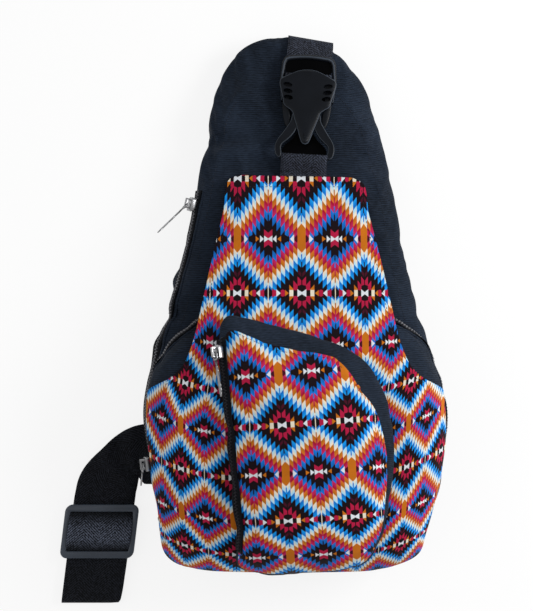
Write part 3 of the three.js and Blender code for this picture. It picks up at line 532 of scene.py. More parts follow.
def closed_curve(points, count=480):
    """Points along a smooth closed curve through the given ones."""
    corners = np.array(points, float)
    curve = []
    for place in np.arange(count) / count * len(corners):
        first = int(place)
        share = place - first
        a, b, c, d = (corners[(first + k) % len(corners)] for k in (-1, 0, 1, 2))
        ab, bc, cd = (math.sqrt(np.linalg.norm(q - p)) for p, q in ((a, b), (b, c), (c, d)))
        leave = ((b - a) / ab - (c - a) / (ab + bc) + (c - b) / bc) * bc
        arrive = ((c - b) / bc - (d - b) / (bc + cd) + (d - c) / cd) * bc
        square = -3 * b + 3 * c - 2 * leave - arrive
        cube = 2 * b - 2 * c + leave + arrive
        curve.append(b + leave * share + square * share**2 + cube * share**3)
    return np.array(curve)


bag_curve = closed_curve(both_sides(BAG_OUTLINE)).round(0)
print("bag outline", bag_curve.min(0), "to", bag_curve.max(0))

# %% A cap
class Cap:
    """A stuffed compartment over an outline.

    Powers `square` and `flat` round its section, `belly` is the share of the depth at the widest line,
    and `tuck` is how far the section turns in below that line, in degrees."""

    def __init__(self, outline, centre, square, flat, belly, tuck, floor, depth):
        self.centre = np.array(centre, float)
        self.square, self.flat, self.belly, self.tuck = square, flat, belly, math.radians(tuck)
        self.floor, self.depth = floor, depth
        arms = closed_curve(outline) - self.centre
        headings = np.arctan2(arms[:, 1], arms[:, 0])
        order = np.argsort(headings)
        self.headings, self.radii = headings[order], np.hypot(*arms.T)[order]

    def radius(self, heading):
        """Distance from the centre to the outline."""
        return np.interp(heading, self.headings, self.radii, period=2 * math.pi)

    def section(self, rise):
        """Shares of the outline and of the depth, from the rim at -tuck to the crown at a quarter turn."""
        rise = np.asarray(rise, float)
        share = np.abs(np.cos(rise)) ** (2 / self.square)
        above = self.belly + (1 - self.belly) * np.abs(np.sin(rise)) ** (2 / self.flat)
        below = self.belly * (1 - (np.abs(np.sin(rise)) / math.sin(self.tuck)) ** (2 / self.flat))
        return share, np.where(rise >= 0, above, below)

    def at(self, heading, rise, inset=0.0):
        """A point on the wall, moved inwards by the inset."""
        share, height = self.section(rise)
        reach = (self.radius(heading) - inset) * share
        x = self.centre[0] + reach * np.cos(heading)
        y = self.centre[1] + reach * np.sin(heading)
        return np.stack([x, y, self.floor(x, y) + height * (self.depth(y) - inset)], -1)

    def heading_at(self, x, y):
        """Heading of a plan point from the centre."""
        return np.arctan2(y - self.centre[1], x - self.centre[0])

    def share_at(self, x, y):
        """How far out a plan point is, as a share of the outline."""
        return np.hypot(x - self.centre[0], y - self.centre[1]) / self.radius(self.heading_at(x, y))

    def seam_line(self, seam, headings):
        """Plan points of a seam, from a function that gives its rise at each heading."""
        reach = self.radius(headings) * self.section(seam(headings))[0]
        return self.centre + reach[:, None] * np.stack([np.cos(headings), np.sin(headings)], -1)

    def crown(self, x, y):
        """Height of the upper surface over a plan point."""
        share = np.minimum(self.share_at(x, y), 1)
        lift = np.sqrt(1 - share**self.square) ** (2 / self.flat)
        return self.floor(x, y) + self.depth(y) * (self.belly + (1 - self.belly) * lift)


def eased(y, low, high):
    """0 below low, 1 above high, eased between them."""
    t = np.clip((np.asarray(y, float) - low) / (high - low), 0, 1)
    return t * t * (3 - 2 * t)


def between(a, b, t):
    """The value a share of the way from a to b."""
    return a + (b - a) * t


# %% The main and front compartments
PAD_TOP = 8.3
FRONT_GAP = 0.9
main = Cap(
    both_sides(BAG_OUTLINE), (0, 109), square=6, flat=2.2, belly=0.42, tuck=33,
    floor=lambda x, y: np.full(np.shape(x), PAD_TOP),
    depth=lambda y: between(46, 28, eased(y, 140, 384)),
)
front = Cap(
    both_sides(FRONT_OUTLINE), (0, 64), square=6, flat=2.2, belly=0.4, tuck=33,
    floor=lambda x, y: main.crown(x, y) + FRONT_GAP,
    depth=lambda y: between(40, 27, eased(y, 90, 183)),
)
print("main crown", main.crown(0.0, 100.0).round(1), "front crown", front.crown(0.0, 60.0).round(1))

# %% [markdown]
# ## How the bib lies
# The printed bib hangs over the front compartment and reaches up onto the main panel. Pulled taut, it
# can't follow a hollow, so along every line up the bag it takes the upper hull of what is under it. The
# hull is worked out once on a table of points and read back by interpolation. The slanted pocket then
# sits on that surface.

# %% The taut surface
BIB_LOW, BIB_HIGH = -40.6, 272.3
BIB_GAP = 2.3
table_x = np.linspace(-120, 120, 121)
table_y = np.linspace(BIB_LOW, BIB_HIGH, 155)


def hull_over(y, z):
    """Upper hull of a profile, read back at the same places."""
    kept = []
    for point in zip(y, z):
        while len(kept) > 1:
            (ay, az), (by, bz) = kept[-2:]
            if (bz - az) * (point[0] - ay) > (point[1] - az) * (by - ay):
                break
            kept.pop()
        kept.append(point)
    return np.interp(y, *zip(*kept))


def under_bib(x, y):
    """Height of what the bib lies on."""
    low = main.crown(x, y) + BIB_GAP
    return np.where(front.share_at(x, y) < 1, np.maximum(front.crown(x, y), low), low)


table_z = np.array([hull_over(table_y, under_bib(np.full(table_y.shape, x), table_y)) for x in table_x])


def taut(x, y):
    """Height of the taut surface over a plan point, read from the table."""
    column = np.clip((np.asarray(x, float) - table_x[0]) / (table_x[1] - table_x[0]), 0, len(table_x) - 1.001)
    row = np.clip((np.asarray(y, float) - table_y[0]) / (table_y[1] - table_y[0]), 0, len(table_y) - 1.001)
    i, j = column.astype(int), row.astype(int)
    u, v = column - i, row - j
    low = between(table_z[i, j], table_z[i + 1, j], u)
    high = between(table_z[i, j + 1], table_z[i + 1, j + 1], u)
    return between(low, high, v)


POCKET_GAP = 3.85
POCKET_LOW, POCKET_TALL = -34.5, 193.0
pocket = Cap(
    POCKET_OUTLINE, (5, 58), square=3, flat=2, belly=0.26, tuck=20,
    floor=lambda x, y: taut(x, y) + POCKET_GAP,
    depth=lambda y: between(26.5, 18, (np.asarray(y, float) - POCKET_LOW) / POCKET_TALL),
)
print("bib over the arch", taut(0.0, 170.0).round(1), "pocket crown", pocket.crown(5.0, 58.0).round(1))

# %% [markdown]
# ## Sewn shells
# A compartment is a face panel with a wall sewn round it. One bmesh grid can be the face: its rim is
# laid on the seam and the inside is spread evenly between the four sides. The wall then comes from
# extruding the rim edge step by step down the section, which keeps neat quads and leaves no pole in the
# middle.

# %% Spreading a grid inside a seam
def distances(points):
    """How far along a line each of its points is."""
    return np.concatenate([[0], np.cumsum(np.linalg.norm(np.diff(points, axis=0), axis=1))])


def even_side(cap, seam, start, stop):
    """A function from 0-1 to plan points along the seam between two headings, evenly spaced."""
    line = cap.seam_line(seam, np.linspace(start, stop, 120))
    gone = distances(line)
    return lambda t: np.stack([np.interp(t * gone[-1], gone, line[:, k]) for k in (0, 1)], -1)


def spread(cap, seam, corners, u, v):
    """Plan points for grid places u, v inside the seam, blended from its four sides."""
    low_left, low_right, top_right, top_left = (math.radians(c) for c in corners)
    low = even_side(cap, seam, low_left, low_right)
    right = even_side(cap, seam, low_right, top_right)
    top = even_side(cap, seam, top_left, top_right)
    left = even_side(cap, seam, low_left, top_left - 2 * math.pi)
    u, v = u[:, None], v[:, None]
    a, b, c, d = low(0.0), low(1.0), top(1.0), top(0.0)
    rows = between(low(u[:, 0]), top(u[:, 0]), v)
    columns = between(left(v[:, 0]), right(v[:, 0]), u)
    return rows + columns - between(between(a, b, u), between(d, c, u), v)


# %% From a grid to a finished mesh
def unit_grid(across, along):
    """A flat grid, with the place of each of its points as shares across and along."""
    mesh = bmesh.new()
    bmesh.ops.create_grid(mesh, x_segments=across, y_segments=along, size=0.5)
    grid = np.array([v.co for v in mesh.verts])
    return mesh, (grid - grid.min(0))[:, :2] / np.ptp(grid[:, :2], axis=0)


def grown(mesh, edges):
    """Extrudes open edges, and gives back the new edges and the new points."""
    made = bmesh.ops.extrude_edge_only(mesh, edges=edges)["geom"]
    fresh = [g for g in made if isinstance(g, bmesh.types.BMVert)]
    return [g for g in made if isinstance(g, bmesh.types.BMEdge)], fresh


def made_up(name, mesh, finishes):
    """Turns a bmesh into a smooth object with its finishes."""
    data = bpy.data.meshes.new(name)
    mesh.to_mesh(data)
    mesh.free()
    for material in finishes:
        data.materials.append(material)
    for polygon in data.polygons:
        polygon.use_smooth = True
    piece = bpy.data.objects.new(name, data)
    scene.collection.objects.link(piece)
    return piece


# %% Face and wall in one shell
ON_FACE, ON_FLANGE = 9.0, -9.0


def wall_layout(mesh, cap, seam, rise_of, gone, layout):
    """Flat cloth places: the face by its own layout, the wall as if turned out flat round it."""
    flat = mesh.loops.layers.uv.new("cloth")
    for face in mesh.faces:
        on_wall = all(v[rise_of] < ON_FACE for v in face.verts)
        face.material_index = int(on_wall)
        for loop in face.loops:
            x, y, _ = (c / MM for c in loop.vert.co)
            if not on_wall:
                loop[flat].uv = [float(c) * MM for c in layout(x, y)]
                continue
            heading = float(cap.heading_at(x, y))
            out = float(cap.radius(heading) * cap.section(seam(heading))[0]) + loop.vert[gone]
            loop[flat].uv = (out * math.cos(heading) * MM, (cap.centre[1] + out * math.sin(heading)) * MM)


def sewn_shell(name, cap, across, along, corners, seam, rows, layout, finishes, inset=0.0, flange=8.0):
    """A stuffed shell: face panel inside the seam, wall outside it, and a turned-in flange at the rim."""
    mesh, grid = unit_grid(across, along)
    rise_of = mesh.verts.layers.float.new("rise")
    gone = mesh.verts.layers.float.new("gone")
    plan = spread(cap, seam, corners, grid[:, 0], grid[:, 1])
    height = cap.crown(plan[:, 0], plan[:, 1]) - inset
    for vert, (x, y), z in zip(mesh.verts, plan, height):
        vert.co = Vector((x, y, z)) * MM
        vert[rise_of] = ON_FACE
    rim = [e for e in mesh.edges if e.is_boundary]
    for vert in {v for e in rim for v in e.verts}:
        vert[rise_of] = float(seam(cap.heading_at(vert.co.x / MM, vert.co.y / MM)))
    for row in range(1, rows + 2):
        rim, fresh = grown(mesh, rim)
        for vert in fresh:
            heading = cap.heading_at(vert.co.x / MM, vert.co.y / MM)
            rise = between(seam(heading), -cap.tuck, min(row / rows, 1))
            spot = Vector(cap.at(heading, rise, inset + (flange if row > rows else 0.0))) * MM
            vert[gone] += (spot - vert.co).length / MM
            vert.co = spot
            vert[rise_of] = float(rise) if row <= rows else ON_FLANGE
    bmesh.ops.recalc_face_normals(mesh, faces=mesh.faces)
    wall_layout(mesh, cap, seam, rise_of, gone, layout)
    piece = made_up(name, mesh, finishes)
    print(name, len(piece.data.vertices), "points", len(piece.data.polygons), "faces")
    return piece


# %% [markdown]
# ## Letting the cloth settle
# Stuffed canvas never keeps a drawn shape: it swells between its seams and buckles where there is a
# little too much of it. Blender's Cloth does that well. The seams, and whatever lies under another
# layer, are pinned; the free cloth gets some slack and a little pressure, runs for twenty frames, and
# no point may travel further than a set cap.

# %% Cloth settling
def settle(piece, pinned, pressure, slack, furthest, frames=20):
    """Runs a short cloth simulation and keeps its result in the mesh.

    `pinned` holds a share for each point, and `furthest` is one cap in metres or a cap for each point."""
    data = piece.data
    start = np.empty(len(data.vertices) * 3)
    data.vertices.foreach_get("co", start)
    start = start.reshape(-1, 3)
    group = piece.vertex_groups.new(name="sewn")
    for index, weight in enumerate(pinned):
        group.add([index], float(weight), "REPLACE")
    modifier = piece.modifiers.new("settle", "CLOTH")
    settings = modifier.settings
    settings.vertex_group_mass = "sewn"
    settings.quality = 6
    settings.mass = 0.3
    settings.tension_stiffness = settings.compression_stiffness = 18
    settings.shear_stiffness = 9
    settings.bending_stiffness = 2.5
    settings.air_damping = 3
    settings.use_pressure = True
    settings.uniform_pressure_force = pressure
    settings.shrink_min = -slack
    settings.effector_weights.gravity = 0
    modifier.collision_settings.use_collision = False
    modifier.point_cache.frame_start = 1
    modifier.point_cache.frame_end = frames
    for number in range(1, frames + 1):
        scene.frame_set(number)
    shaped = piece.evaluated_get(bpy.context.evaluated_depsgraph_get())
    ended = np.empty(start.size)
    shaped.data.vertices.foreach_get("co", ended)
    moved = ended.reshape(-1, 3) - start
    length = np.linalg.norm(moved, axis=1)
    moved *= (furthest * np.tanh(length / furthest) / np.maximum(length, 1e-9))[:, None]
    piece.modifiers.remove(modifier)
    piece.vertex_groups.remove(group)
    scene.frame_set(1)
    data.vertices.foreach_set("co", (start + moved).ravel())
    data.update()
    return float(np.linalg.norm(moved, axis=1).max())


# %% Thickness, and reading a piece's points
def thicken(piece, name, thickness, offset=-1):
    """Gives a sheet its real thickness: inwards, or to both sides with an offset of 0."""
    wall = piece.modifiers.new(name, "SOLIDIFY")
    wall.thickness = thickness
    wall.offset = offset


def skin_and_round(piece, thickness):
    """One subdivision, then a real cloth thickness."""
    rounding = piece.modifiers.new("round", "SUBSURF")
    rounding.levels = rounding.render_levels = 1
    rounding.uv_smooth = "PRESERVE_BOUNDARIES"
    thicken(piece, "cloth_thickness", thickness)


def points_of(piece):
    """A piece's points, in millimetres."""
    points = np.empty(len(piece.data.vertices) * 3)
    piece.data.vertices.foreach_get("co", points)
    return points.reshape(-1, 3) / MM


def rises_of(piece):
    """Where each point of a shell is: its rise on the wall, or a mark for face and flange."""
    rises = np.empty(len(piece.data.vertices), np.float32)
    piece.data.attributes["rise"].data.foreach_get("value", rises)
    return rises


# %% [markdown]
# ## Main compartment
# The main bag is one stuffed shell of ribbed canvas: a front panel, and a wall sewn round it with the
# long zip in its left side. The canvas is free to billow only where it shows, beside the bib and round
# the top; under the bib, the front compartment and the buckle it is held down by what lies on it. The
# bag is slack on its left and smooth on its right, so the cap on each point's travel falls from left to
# right.

# %% Sew and settle the main compartment
MAIN_SEAM = math.radians(42)
MAIN_CORNERS = (-125, -55, 78, 102)
SEAM_NEAR = 0.01
LEFT_SLACK, RIGHT_SLACK = 0.007, 0.0016
CANVAS_THICK = 0.0016


def plain_layout(x, y):
    """Cloth cut as it is seen from the front."""
    return x, y


def main_seam(heading):
    """The face is sewn to the wall at one rise all the way round."""
    return np.full(np.shape(heading), MAIN_SEAM)


main_shell = sewn_shell(
    "main_shell", main, 40, 84, MAIN_CORNERS, main_seam, 11, plain_layout, [canvas, canvas],
)


def bib_half(y):
    """Half width of the bib's tongue at a height."""
    curve = closed_curve([(h, t) for t, h in BIB_TONGUE] + [(-h, t) for t, h in reversed(BIB_TONGUE)])
    right = curve[curve[:, 0] > 0]
    order = np.argsort(right[:, 1])
    return np.interp(y, right[order, 1], right[order, 0])


def oval(x, y, middle, half_sizes, faded):
    """1 well inside an oval, fading to 0 at some share of its size."""
    return 1 - eased(np.hypot((x - middle[0]) / half_sizes[0], (y - middle[1]) / half_sizes[1]), 0.8, faded)


def held_main(points, rises):
    """How firmly each point is held: under the bib, at the seams and where other pieces lie on it."""
    x, y = points[:, 0], points[:, 1]
    covered = 1 - eased(np.abs(x) - bib_half(np.clip(y, 105, 271)), -6, 10)
    covered = np.where(y > 272.5, 0, covered)
    covered = np.where(front.share_at(x, y) < 1.03, 1, covered)
    buckle = oval(x, y, (9, 322), (30, 62), 1.3)
    zip_run = oval(x, y, (-82, 222), (24, 46), 1.4)
    seam = np.where(np.abs(rises - MAIN_SEAM) < SEAM_NEAR, 0.7, 0)
    rim = np.where(rises < -0.5, 1, 0)
    strap_end = np.where(rises < 0.1, oval(x, y, (-112, 47), (16, 40), 1.2), 0)
    held = np.max([covered, buckle, zip_run, seam, rim, strap_end], axis=0)
    upper_wall = (rises < ON_FACE) & (rises > -0.5) & (y > 120)
    return np.where(upper_wall, np.minimum(held, 0.9), held)


slackest = np.interp(points_of(main_shell)[:, 0], (-40, 40), (LEFT_SLACK, RIGHT_SLACK))
travel = settle(main_shell, held_main(points_of(main_shell), rises_of(main_shell)), 2.5, 0.05, slackest)
print("main canvas settled by up to", round(travel / MM, 1), "mm")

# %% [markdown]
# A few folds are habits of this bag rather than physics: a hollow across the left shoulder, dimples on
# the right, and folds below the zip that give the left edge a soft waist. Those are pressed in by
# moving points under smooth bumps.

# %% Press in the known folds
INTO_BAG, TO_LEFT = (0, 0, -1), (-1, 0, 0)
UNDER_ZIP = 26
PRESS_FADE = 8
# Each fold: middle, width, height, how far it is pushed, lean, direction and the highest cloth that moves
FOLDS = [
    (-60, 303, 22, 6, 10.0, 0.15, INTO_BAG, None),
    (-70, 289, 24, 7, -4.0, 0.12, INTO_BAG, None),
    (66, 284, 14, 6, 6.0, -0.35, INTO_BAG, None),
    (62, 326, 12, 7, 3.5, -0.5, INTO_BAG, None),
    (60, 295, 14, 6, -2.2, -0.35, INTO_BAG, None),
    (-100, 191, 20, 8, 6.0, 0.0, TO_LEFT, UNDER_ZIP),
    (-92, 208, 16, 7, -2.0, 0.0, TO_LEFT, UNDER_ZIP),
    (-78, 192, 12, 9, -3.0, 0.0, INTO_BAG, None),
    (-82, 166, 20, 8, 5.0, 0.2, INTO_BAG, None),
]


def put_points(piece, points):
    """Writes points in millimetres back into a piece."""
    piece.data.vertices.foreach_set("co", (points * MM).ravel())
    piece.data.update()


def press(piece, x, y, wide, tall, depth, lean, direction, under):
    """Pushes a smooth oval of cloth; with `under`, a zip above that height keeps its straight run."""
    points = points_of(piece)
    dx, dy = points[:, 0] - x, points[:, 1] - y
    along = dx * math.cos(lean) + dy * math.sin(lean)
    over = dy * math.cos(lean) - dx * math.sin(lean)
    weight = np.exp(-((along / wide) ** 2) - (over / tall) ** 2)
    if under:
        weight *= np.clip((under - points[:, 2]) / PRESS_FADE, 0, 1)
    put_points(piece, points + weight[:, None] * depth * np.array(direction, float))


for crease in FOLDS:
    press(main_shell, *crease)
skin_and_round(main_shell, CANVAS_THICK)
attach(main_shell, "bag")
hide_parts("main_gusset", "main_front_panel")
print(len(FOLDS), "folds pressed")

# %% [markdown]
# ## Front compartment
# The front compartment sits on the main panel, with its own zip in an arch over the top. Its printed
# face runs right down to the bottom edge, so the seam drops from the shoulder at the sides to the
# widest line underneath.

# %% Sew and settle the front compartment
def front_seam(heading):
    """The seam's rise: on the shoulder at the sides, near the widest line underneath."""
    heading = np.asarray(heading, float)
    low = eased(-np.sin(heading), 0.1, 0.75)
    return np.radians(between(27.0, 6.0, low))


front_shell = sewn_shell(
    "front_shell", front, 38, 34, (-134, -46, 40, 140), front_seam, 9, plain_layout, [canvas, canvas],
    inset=1.4,
)


def held_front(points, rises):
    """The face under the bib is held, and so are the seams and the wall behind the runner."""
    x, y = points[:, 0], points[:, 1]
    tongue = np.where(np.abs(x) < bib_half(np.clip(y, 105, 271)) + 4, 1, 0.0)
    face = np.where(rises == ON_FACE, np.where(y < 106, 1, tongue), 0)
    seam = np.where(np.abs(rises - front_seam(front.heading_at(x, y))) < SEAM_NEAR, 1, 0)
    rim = np.where(rises < -0.5, 1, 0)
    runner = oval(x, y, (-115, 58), (16, 34), 1.3)
    return np.max([face, seam, rim, runner], axis=0)


travel = settle(front_shell, held_front(points_of(front_shell), rises_of(front_shell)), 2.0, 0.03, 0.003)
skin_and_round(front_shell, CANVAS_THICK)
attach(front_shell, "bag")
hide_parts("front_gusset", "front_face")
print("front canvas settled by up to", round(travel / MM, 1), "mm")

# %% [markdown]
# ## Printed bib
# The bib is one printed panel: the face of the front compartment with a tongue that runs up under the
# buckle. It is laid as rows of a grid between its two edges. Its layout carries the print; the rows of
# diamonds close up towards the bottom and curl up towards the sides, as the cloth there turns away from
# the eye.

# %% Where the print's rows and columns fall
ROW_HEIGHTS = [-60, -46, -25, 1, 35, 69, 101, 138, 178, 221, 270.5, 320]
ROW_COUNTS = [-9.9, -9, -8, -7, -6, -5, -4, -3, -2, -1, 0, 1.1]
COLUMN_PLACES = [0, 30, 50, 70, 88, 102, 116, 134]
COLUMN_FLATS = [0, 30, 52.5, 78, 105, 131, 160, 202]
SMILE = 0.0034
PRINT_SHIFT = 4.2


def bib_layout(x, y):
    """Flat print coordinates of a plan point on the bib."""
    right_drift = np.interp(y, [-22, 39, 100, 125], [10, 5.8, 3.2, 0])
    left_drift = np.interp(y, [-22, 13, 80, 115], [1, 3.6, 4.5, 0])
    shifted = x + np.where(x > 0, right_drift, left_drift) * eased(np.abs(x), 30, 60)
    reach = np.abs(shifted)
    smile = SMILE * np.maximum(reach - 40, 0) ** 2 * (1 - eased(y, 110, 170))
    rows = np.interp(np.asarray(y, float) - smile, ROW_HEIGHTS, ROW_COUNTS) * HALF_TALL
    columns = np.sign(shifted) * np.interp(reach, COLUMN_PLACES, COLUMN_FLATS) - PRINT_SHIFT
    return columns, rows


print("rows of the print from", ROW_HEIGHTS[0], "to", ROW_HEIGHTS[-1], "mm")

# %% Edges and lift of the bib
BIB_WIDEST = 104.0
BIB_LIFT = 2.2


def seam_half(y, side):
    """How far the front seam is from the middle at a height, on the right (1) or left (-1)."""
    line = front.seam_line(front_seam, -math.pi / 2 + side * np.linspace(0, math.pi, 400))
    return np.interp(y, line[:, 1], np.abs(line[:, 0]))


def bib_edge(y, side):
    """Half width of the bib: the front seam low down, and the tongue above it."""
    widest = seam_half(np.full(np.shape(y), BIB_WIDEST), side)
    return np.where(y < BIB_WIDEST, seam_half(y, side), np.minimum(bib_half(y), widest))


def taut_out(x, y, step=0.6, steepest=6):
    """Outward direction of the taut surface."""
    slope_x = np.clip(taut(x + step, y) - taut(x - step, y), -steepest, steepest) / (2 * step)
    slope_y = np.clip(taut(x, y + step) - taut(x, y - step), -steepest, steepest) / (2 * step)
    out = np.stack([-slope_x, -slope_y, np.ones(np.shape(x))], -1)
    return out / np.linalg.norm(out, axis=-1)[:, None]


profile_y = np.linspace(BIB_LOW, BIB_HIGH, 600)
walked = distances(np.stack([profile_y, taut(np.zeros(600), profile_y)], -1))
print("the bib's middle line is", walked[-1].round(1), "mm long")

# %% Lay the bib
BIB_CORNER = 6.0
HEM_LEAN = 0.03
WRAP_STEPS = 4
WRAP_DEEP = 26
WRAP_STRETCH = 1.25


def lay_flat(mesh, place_of):
    """Writes the flat cloth place of each point, in metres, into the mesh."""
    flat = mesh.loops.layers.uv.new("cloth")
    for face in mesh.faces:
        for loop in face.loops:
            loop[flat].uv = place_of(loop.vert)


def lay_bib(across, along):
    """The bib as a grid between its two edges, with its lower edge wrapped over the wall."""
    mesh, grid = unit_grid(across, along)
    y = np.interp(grid[:, 1] * walked[-1], walked, profile_y)
    half = np.where(grid[:, 0] < 0.5, bib_edge(y, -1), bib_edge(y, 1))
    # The top corners are rounded off, and the hem there leans a little
    over = np.clip(y - BIB_HIGH + BIB_CORNER, 0, BIB_CORNER)
    half -= BIB_CORNER - np.sqrt(BIB_CORNER**2 - over**2)
    x = half * np.sin((grid[:, 0] - 0.5) * math.pi * 0.9) / math.sin(math.pi * 0.45)
    y -= HEM_LEAN * x * eased(y, 200, 268)
    flat_x, flat_y = bib_layout(x, y)
    places = {}
    spots = np.stack([x, y, taut(x, y)], -1) + taut_out(x, y) * BIB_LIFT
    for vert, spot, u, v in zip(mesh.verts, spots, flat_x, flat_y):
        vert.co = Vector(spot) * MM
        places[vert] = (u, v)
    # The lower edge wraps over the widest line: its rim is extruded down the wall in a few steps
    rim = [e for e in mesh.edges if e.is_boundary and all(v.co.y < 0.05 for v in e.verts)]
    for step in range(1, WRAP_STEPS + 1):
        before = {tuple(v.co): v for e in rim for v in e.verts}
        rim, fresh = grown(mesh, rim)
        for vert in fresh:
            was = np.array(vert.co) / MM
            u, v = places[before[tuple(vert.co)]]
            heading = front.heading_at(was[0], was[1])
            deep = WRAP_DEEP * eased(-np.sin(heading), 0.1, 0.7)
            rise = front_seam(heading) - math.radians(float(deep)) * step / WRAP_STEPS
            spot = front.at(heading, rise, -BIB_LIFT)
            gone = np.linalg.norm(spot - was) * WRAP_STRETCH
            places[vert] = (u + gone * math.cos(heading), v + gone * math.sin(heading))
            vert.co = Vector(spot) * MM
    lay_flat(mesh, lambda vert: [float(c) * MM for c in places[vert]])
    bmesh.ops.recalc_face_normals(mesh, faces=mesh.faces)
    return mesh


bib = made_up("printed_bib", lay_bib(64, 120), [printed])
skin_and_round(bib, 0.0013)
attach(bib, "bag")
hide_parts("bib_panel")

# %% [markdown]
# ## Slanted pocket
# The small pocket is another stuffed shell: a printed face, a canvas band round its top and right, and
# a zip down the left wall. The seam between print and band slides from the shoulder at the top to the
# very edge at the bottom.

# %% How the pocket's print and seam run
POCKET_ROWS = [-60, -21, 7, 43, 80, 119, 160]
POCKET_COUNTS = [-5.4, -4, -3, -2, -1, 0, 1.05]
POCKET_LEAN = 0.07
POCKET_STRETCH = 1.045
POCKET_SHIFT = 11.6
# The seam's rise at headings round the pocket, both in degrees
POCKET_SEAM = [
    (-180, 28), (-150, 27), (-122, 14), (-90, 6), (-60, 13), (-32, 22), (6, 33), (20, 37), (32, 41),
    (47, 48), (60, 42), (72, 34), (82, 37), (92, 41), (110, 42), (118, 36), (126, 23), (133, 22),
    (146, 25), (160, 27), (180, 28),
]


def pocket_layout(x, y):
    """Flat print coordinates of a plan point on the pocket, where the print leans."""
    turned_y = y + 1.8 - POCKET_LEAN * x
    turned_x = (x + POCKET_SHIFT) * POCKET_STRETCH - POCKET_SHIFT + POCKET_LEAN * y
    rows = (np.interp(turned_y, POCKET_ROWS, POCKET_COUNTS) + 1) * HALF_TALL
    spread_out = np.sign(turned_x - 5) * np.interp(np.abs(turned_x - 5), [0, 45, 62, 80], [0, 45, 66, 92])
    return spread_out + 11.5, rows


def pocket_seam(heading):
    """The seam's rise at a heading, both in radians."""
    places, rises = zip(*POCKET_SEAM)
    return np.radians(np.interp(np.degrees(np.asarray(heading, float)), places, rises, period=360))


print("pocket seam rises from", np.degrees(pocket_seam(-math.pi / 2)).round(), "degrees at the bottom")

# %% Sew and settle the pocket
pocket_shell = sewn_shell(
    "pocket_shell", pocket, 30, 40, (-119, -57, 48, 123), pocket_seam, 8, pocket_layout, [printed, canvas],
    flange=5.0,
)


def held_pocket(points, rises):
    """The seams are held, and so is the wall behind the runner."""
    x, y = points[:, 0], points[:, 1]
    seam = np.where(np.abs(rises - pocket_seam(pocket.heading_at(x, y))) < SEAM_NEAR, 0.8, 0)
    rim = np.where(rises < -0.3, 1, 0)
    runner = np.where(x < -30, oval(x, y, (-58, 118), (18, 36), 1.3), 0)
    return np.max([seam, rim, runner], axis=0)


travel = settle(pocket_shell, held_pocket(points_of(pocket_shell), rises_of(pocket_shell)), 2.5, 0.02, 0.004)
skin_and_round(pocket_shell, 0.0014)
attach(pocket_shell, "bag")
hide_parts("pocket_gusset", "pocket_face")
print("pocket settled by up to", round(travel / MM, 1), "mm")

# %% [markdown]
# ## Zips
# A coil zip is a woven tape with a moulded nylon spiral along its middle, sewn into the wall behind two
# folded lips. The line of each zip runs at one height of its compartment. Points on that line are
# dropped onto the settled cloth, so tape, teeth and lips all follow the folds.

# %% Lines along a wall
LEFT, RIGHT = -1, 1


def heading_for(cap, rise, y, side):
    """Heading at which a wall line passes a height, on one side."""
    low, high = (math.pi / 2, 3 * math.pi / 2) if side < 0 else (math.pi / 2, -math.pi / 2)
    for _ in range(40):
        middle = (low + high) / 2
        if cap.at(middle, rise)[1] > y:
            low = middle
        else:
            high = middle
    return (low + high) / 2


def skin_of(piece):
    """A search tree of the finished surface of a piece."""
    bpy.context.view_layer.update()
    return BVHTree.FromObject(piece, bpy.context.evaluated_depsgraph_get())


def evenly(points, pitch):
    """Points at an even pitch along a line, in millimetres."""
    points = np.asarray(points, float)
    gone = distances(points)
    places = np.linspace(0, gone[-1], max(int(gone[-1] / pitch), 2))
    return np.stack([np.interp(places, gone, points[:, k]) for k in range(3)], -1)


def dropped(skin, points):
    """Nearest points and outward directions on a surface, for points in millimetres."""
    spots, outs = [], []
    for point in points:
        spot, out, _, _ = skin.find_nearest(Vector(point) * MM)
        spots.append(np.array(spot) / MM)
        outs.append(np.array(out))
    outs = np.array(outs)
    for _ in range(3):
        outs[1:-1] = (outs[:-2] + outs[1:-1] * 2 + outs[2:]) / 4
    return np.array(spots), outs / np.linalg.norm(outs, axis=1)[:, None]


def frames_along(points, outs):
    """Directions along and across a line that lies on a surface."""
    along = np.gradient(points, axis=0)
    along /= np.linalg.norm(along, axis=1)[:, None]
    across = np.cross(along, outs)
    across /= np.linalg.norm(across, axis=1)[:, None]
    return along, across, np.cross(across, along)


# %% Groove for a zip
OUTSIDE = 6.0
GROOVE_HALF = 5.5
GROOVE_DEEP = 1.3


def wall_line(cap, rise, start, stop, count=160):
    """A line just outside a wall, between two places of height and side, to be dropped onto the cloth."""
    headings = np.linspace(heading_for(cap, rise, *start), heading_for(cap, rise, *stop), count)
    return cap.at(headings, np.full(count, rise), -OUTSIDE)


def sink(piece, line):
    """Presses a groove into a piece along a line, towards the inside of the wall."""
    points = points_of(piece)
    inward = np.empty(len(points) * 3)
    piece.data.vertices.foreach_get("normal", inward)
    inward = -inward.reshape(-1, 3)
    away = np.array([np.linalg.norm(line - p, axis=1).min() for p in points])
    weight = 1 - eased(away, GROOVE_HALF, GROOVE_HALF + 5)
    put_points(piece, points + (weight * GROOVE_DEEP)[:, None] * inward)


# %% Pieces made on a line
def new_piece(name, mesh, finishes, body):
    """Makes a bmesh into a piece that rides on a body and takes its finish from a slot."""
    piece = made_up(name, mesh, finishes)
    if body:
        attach(piece, body)
    return piece


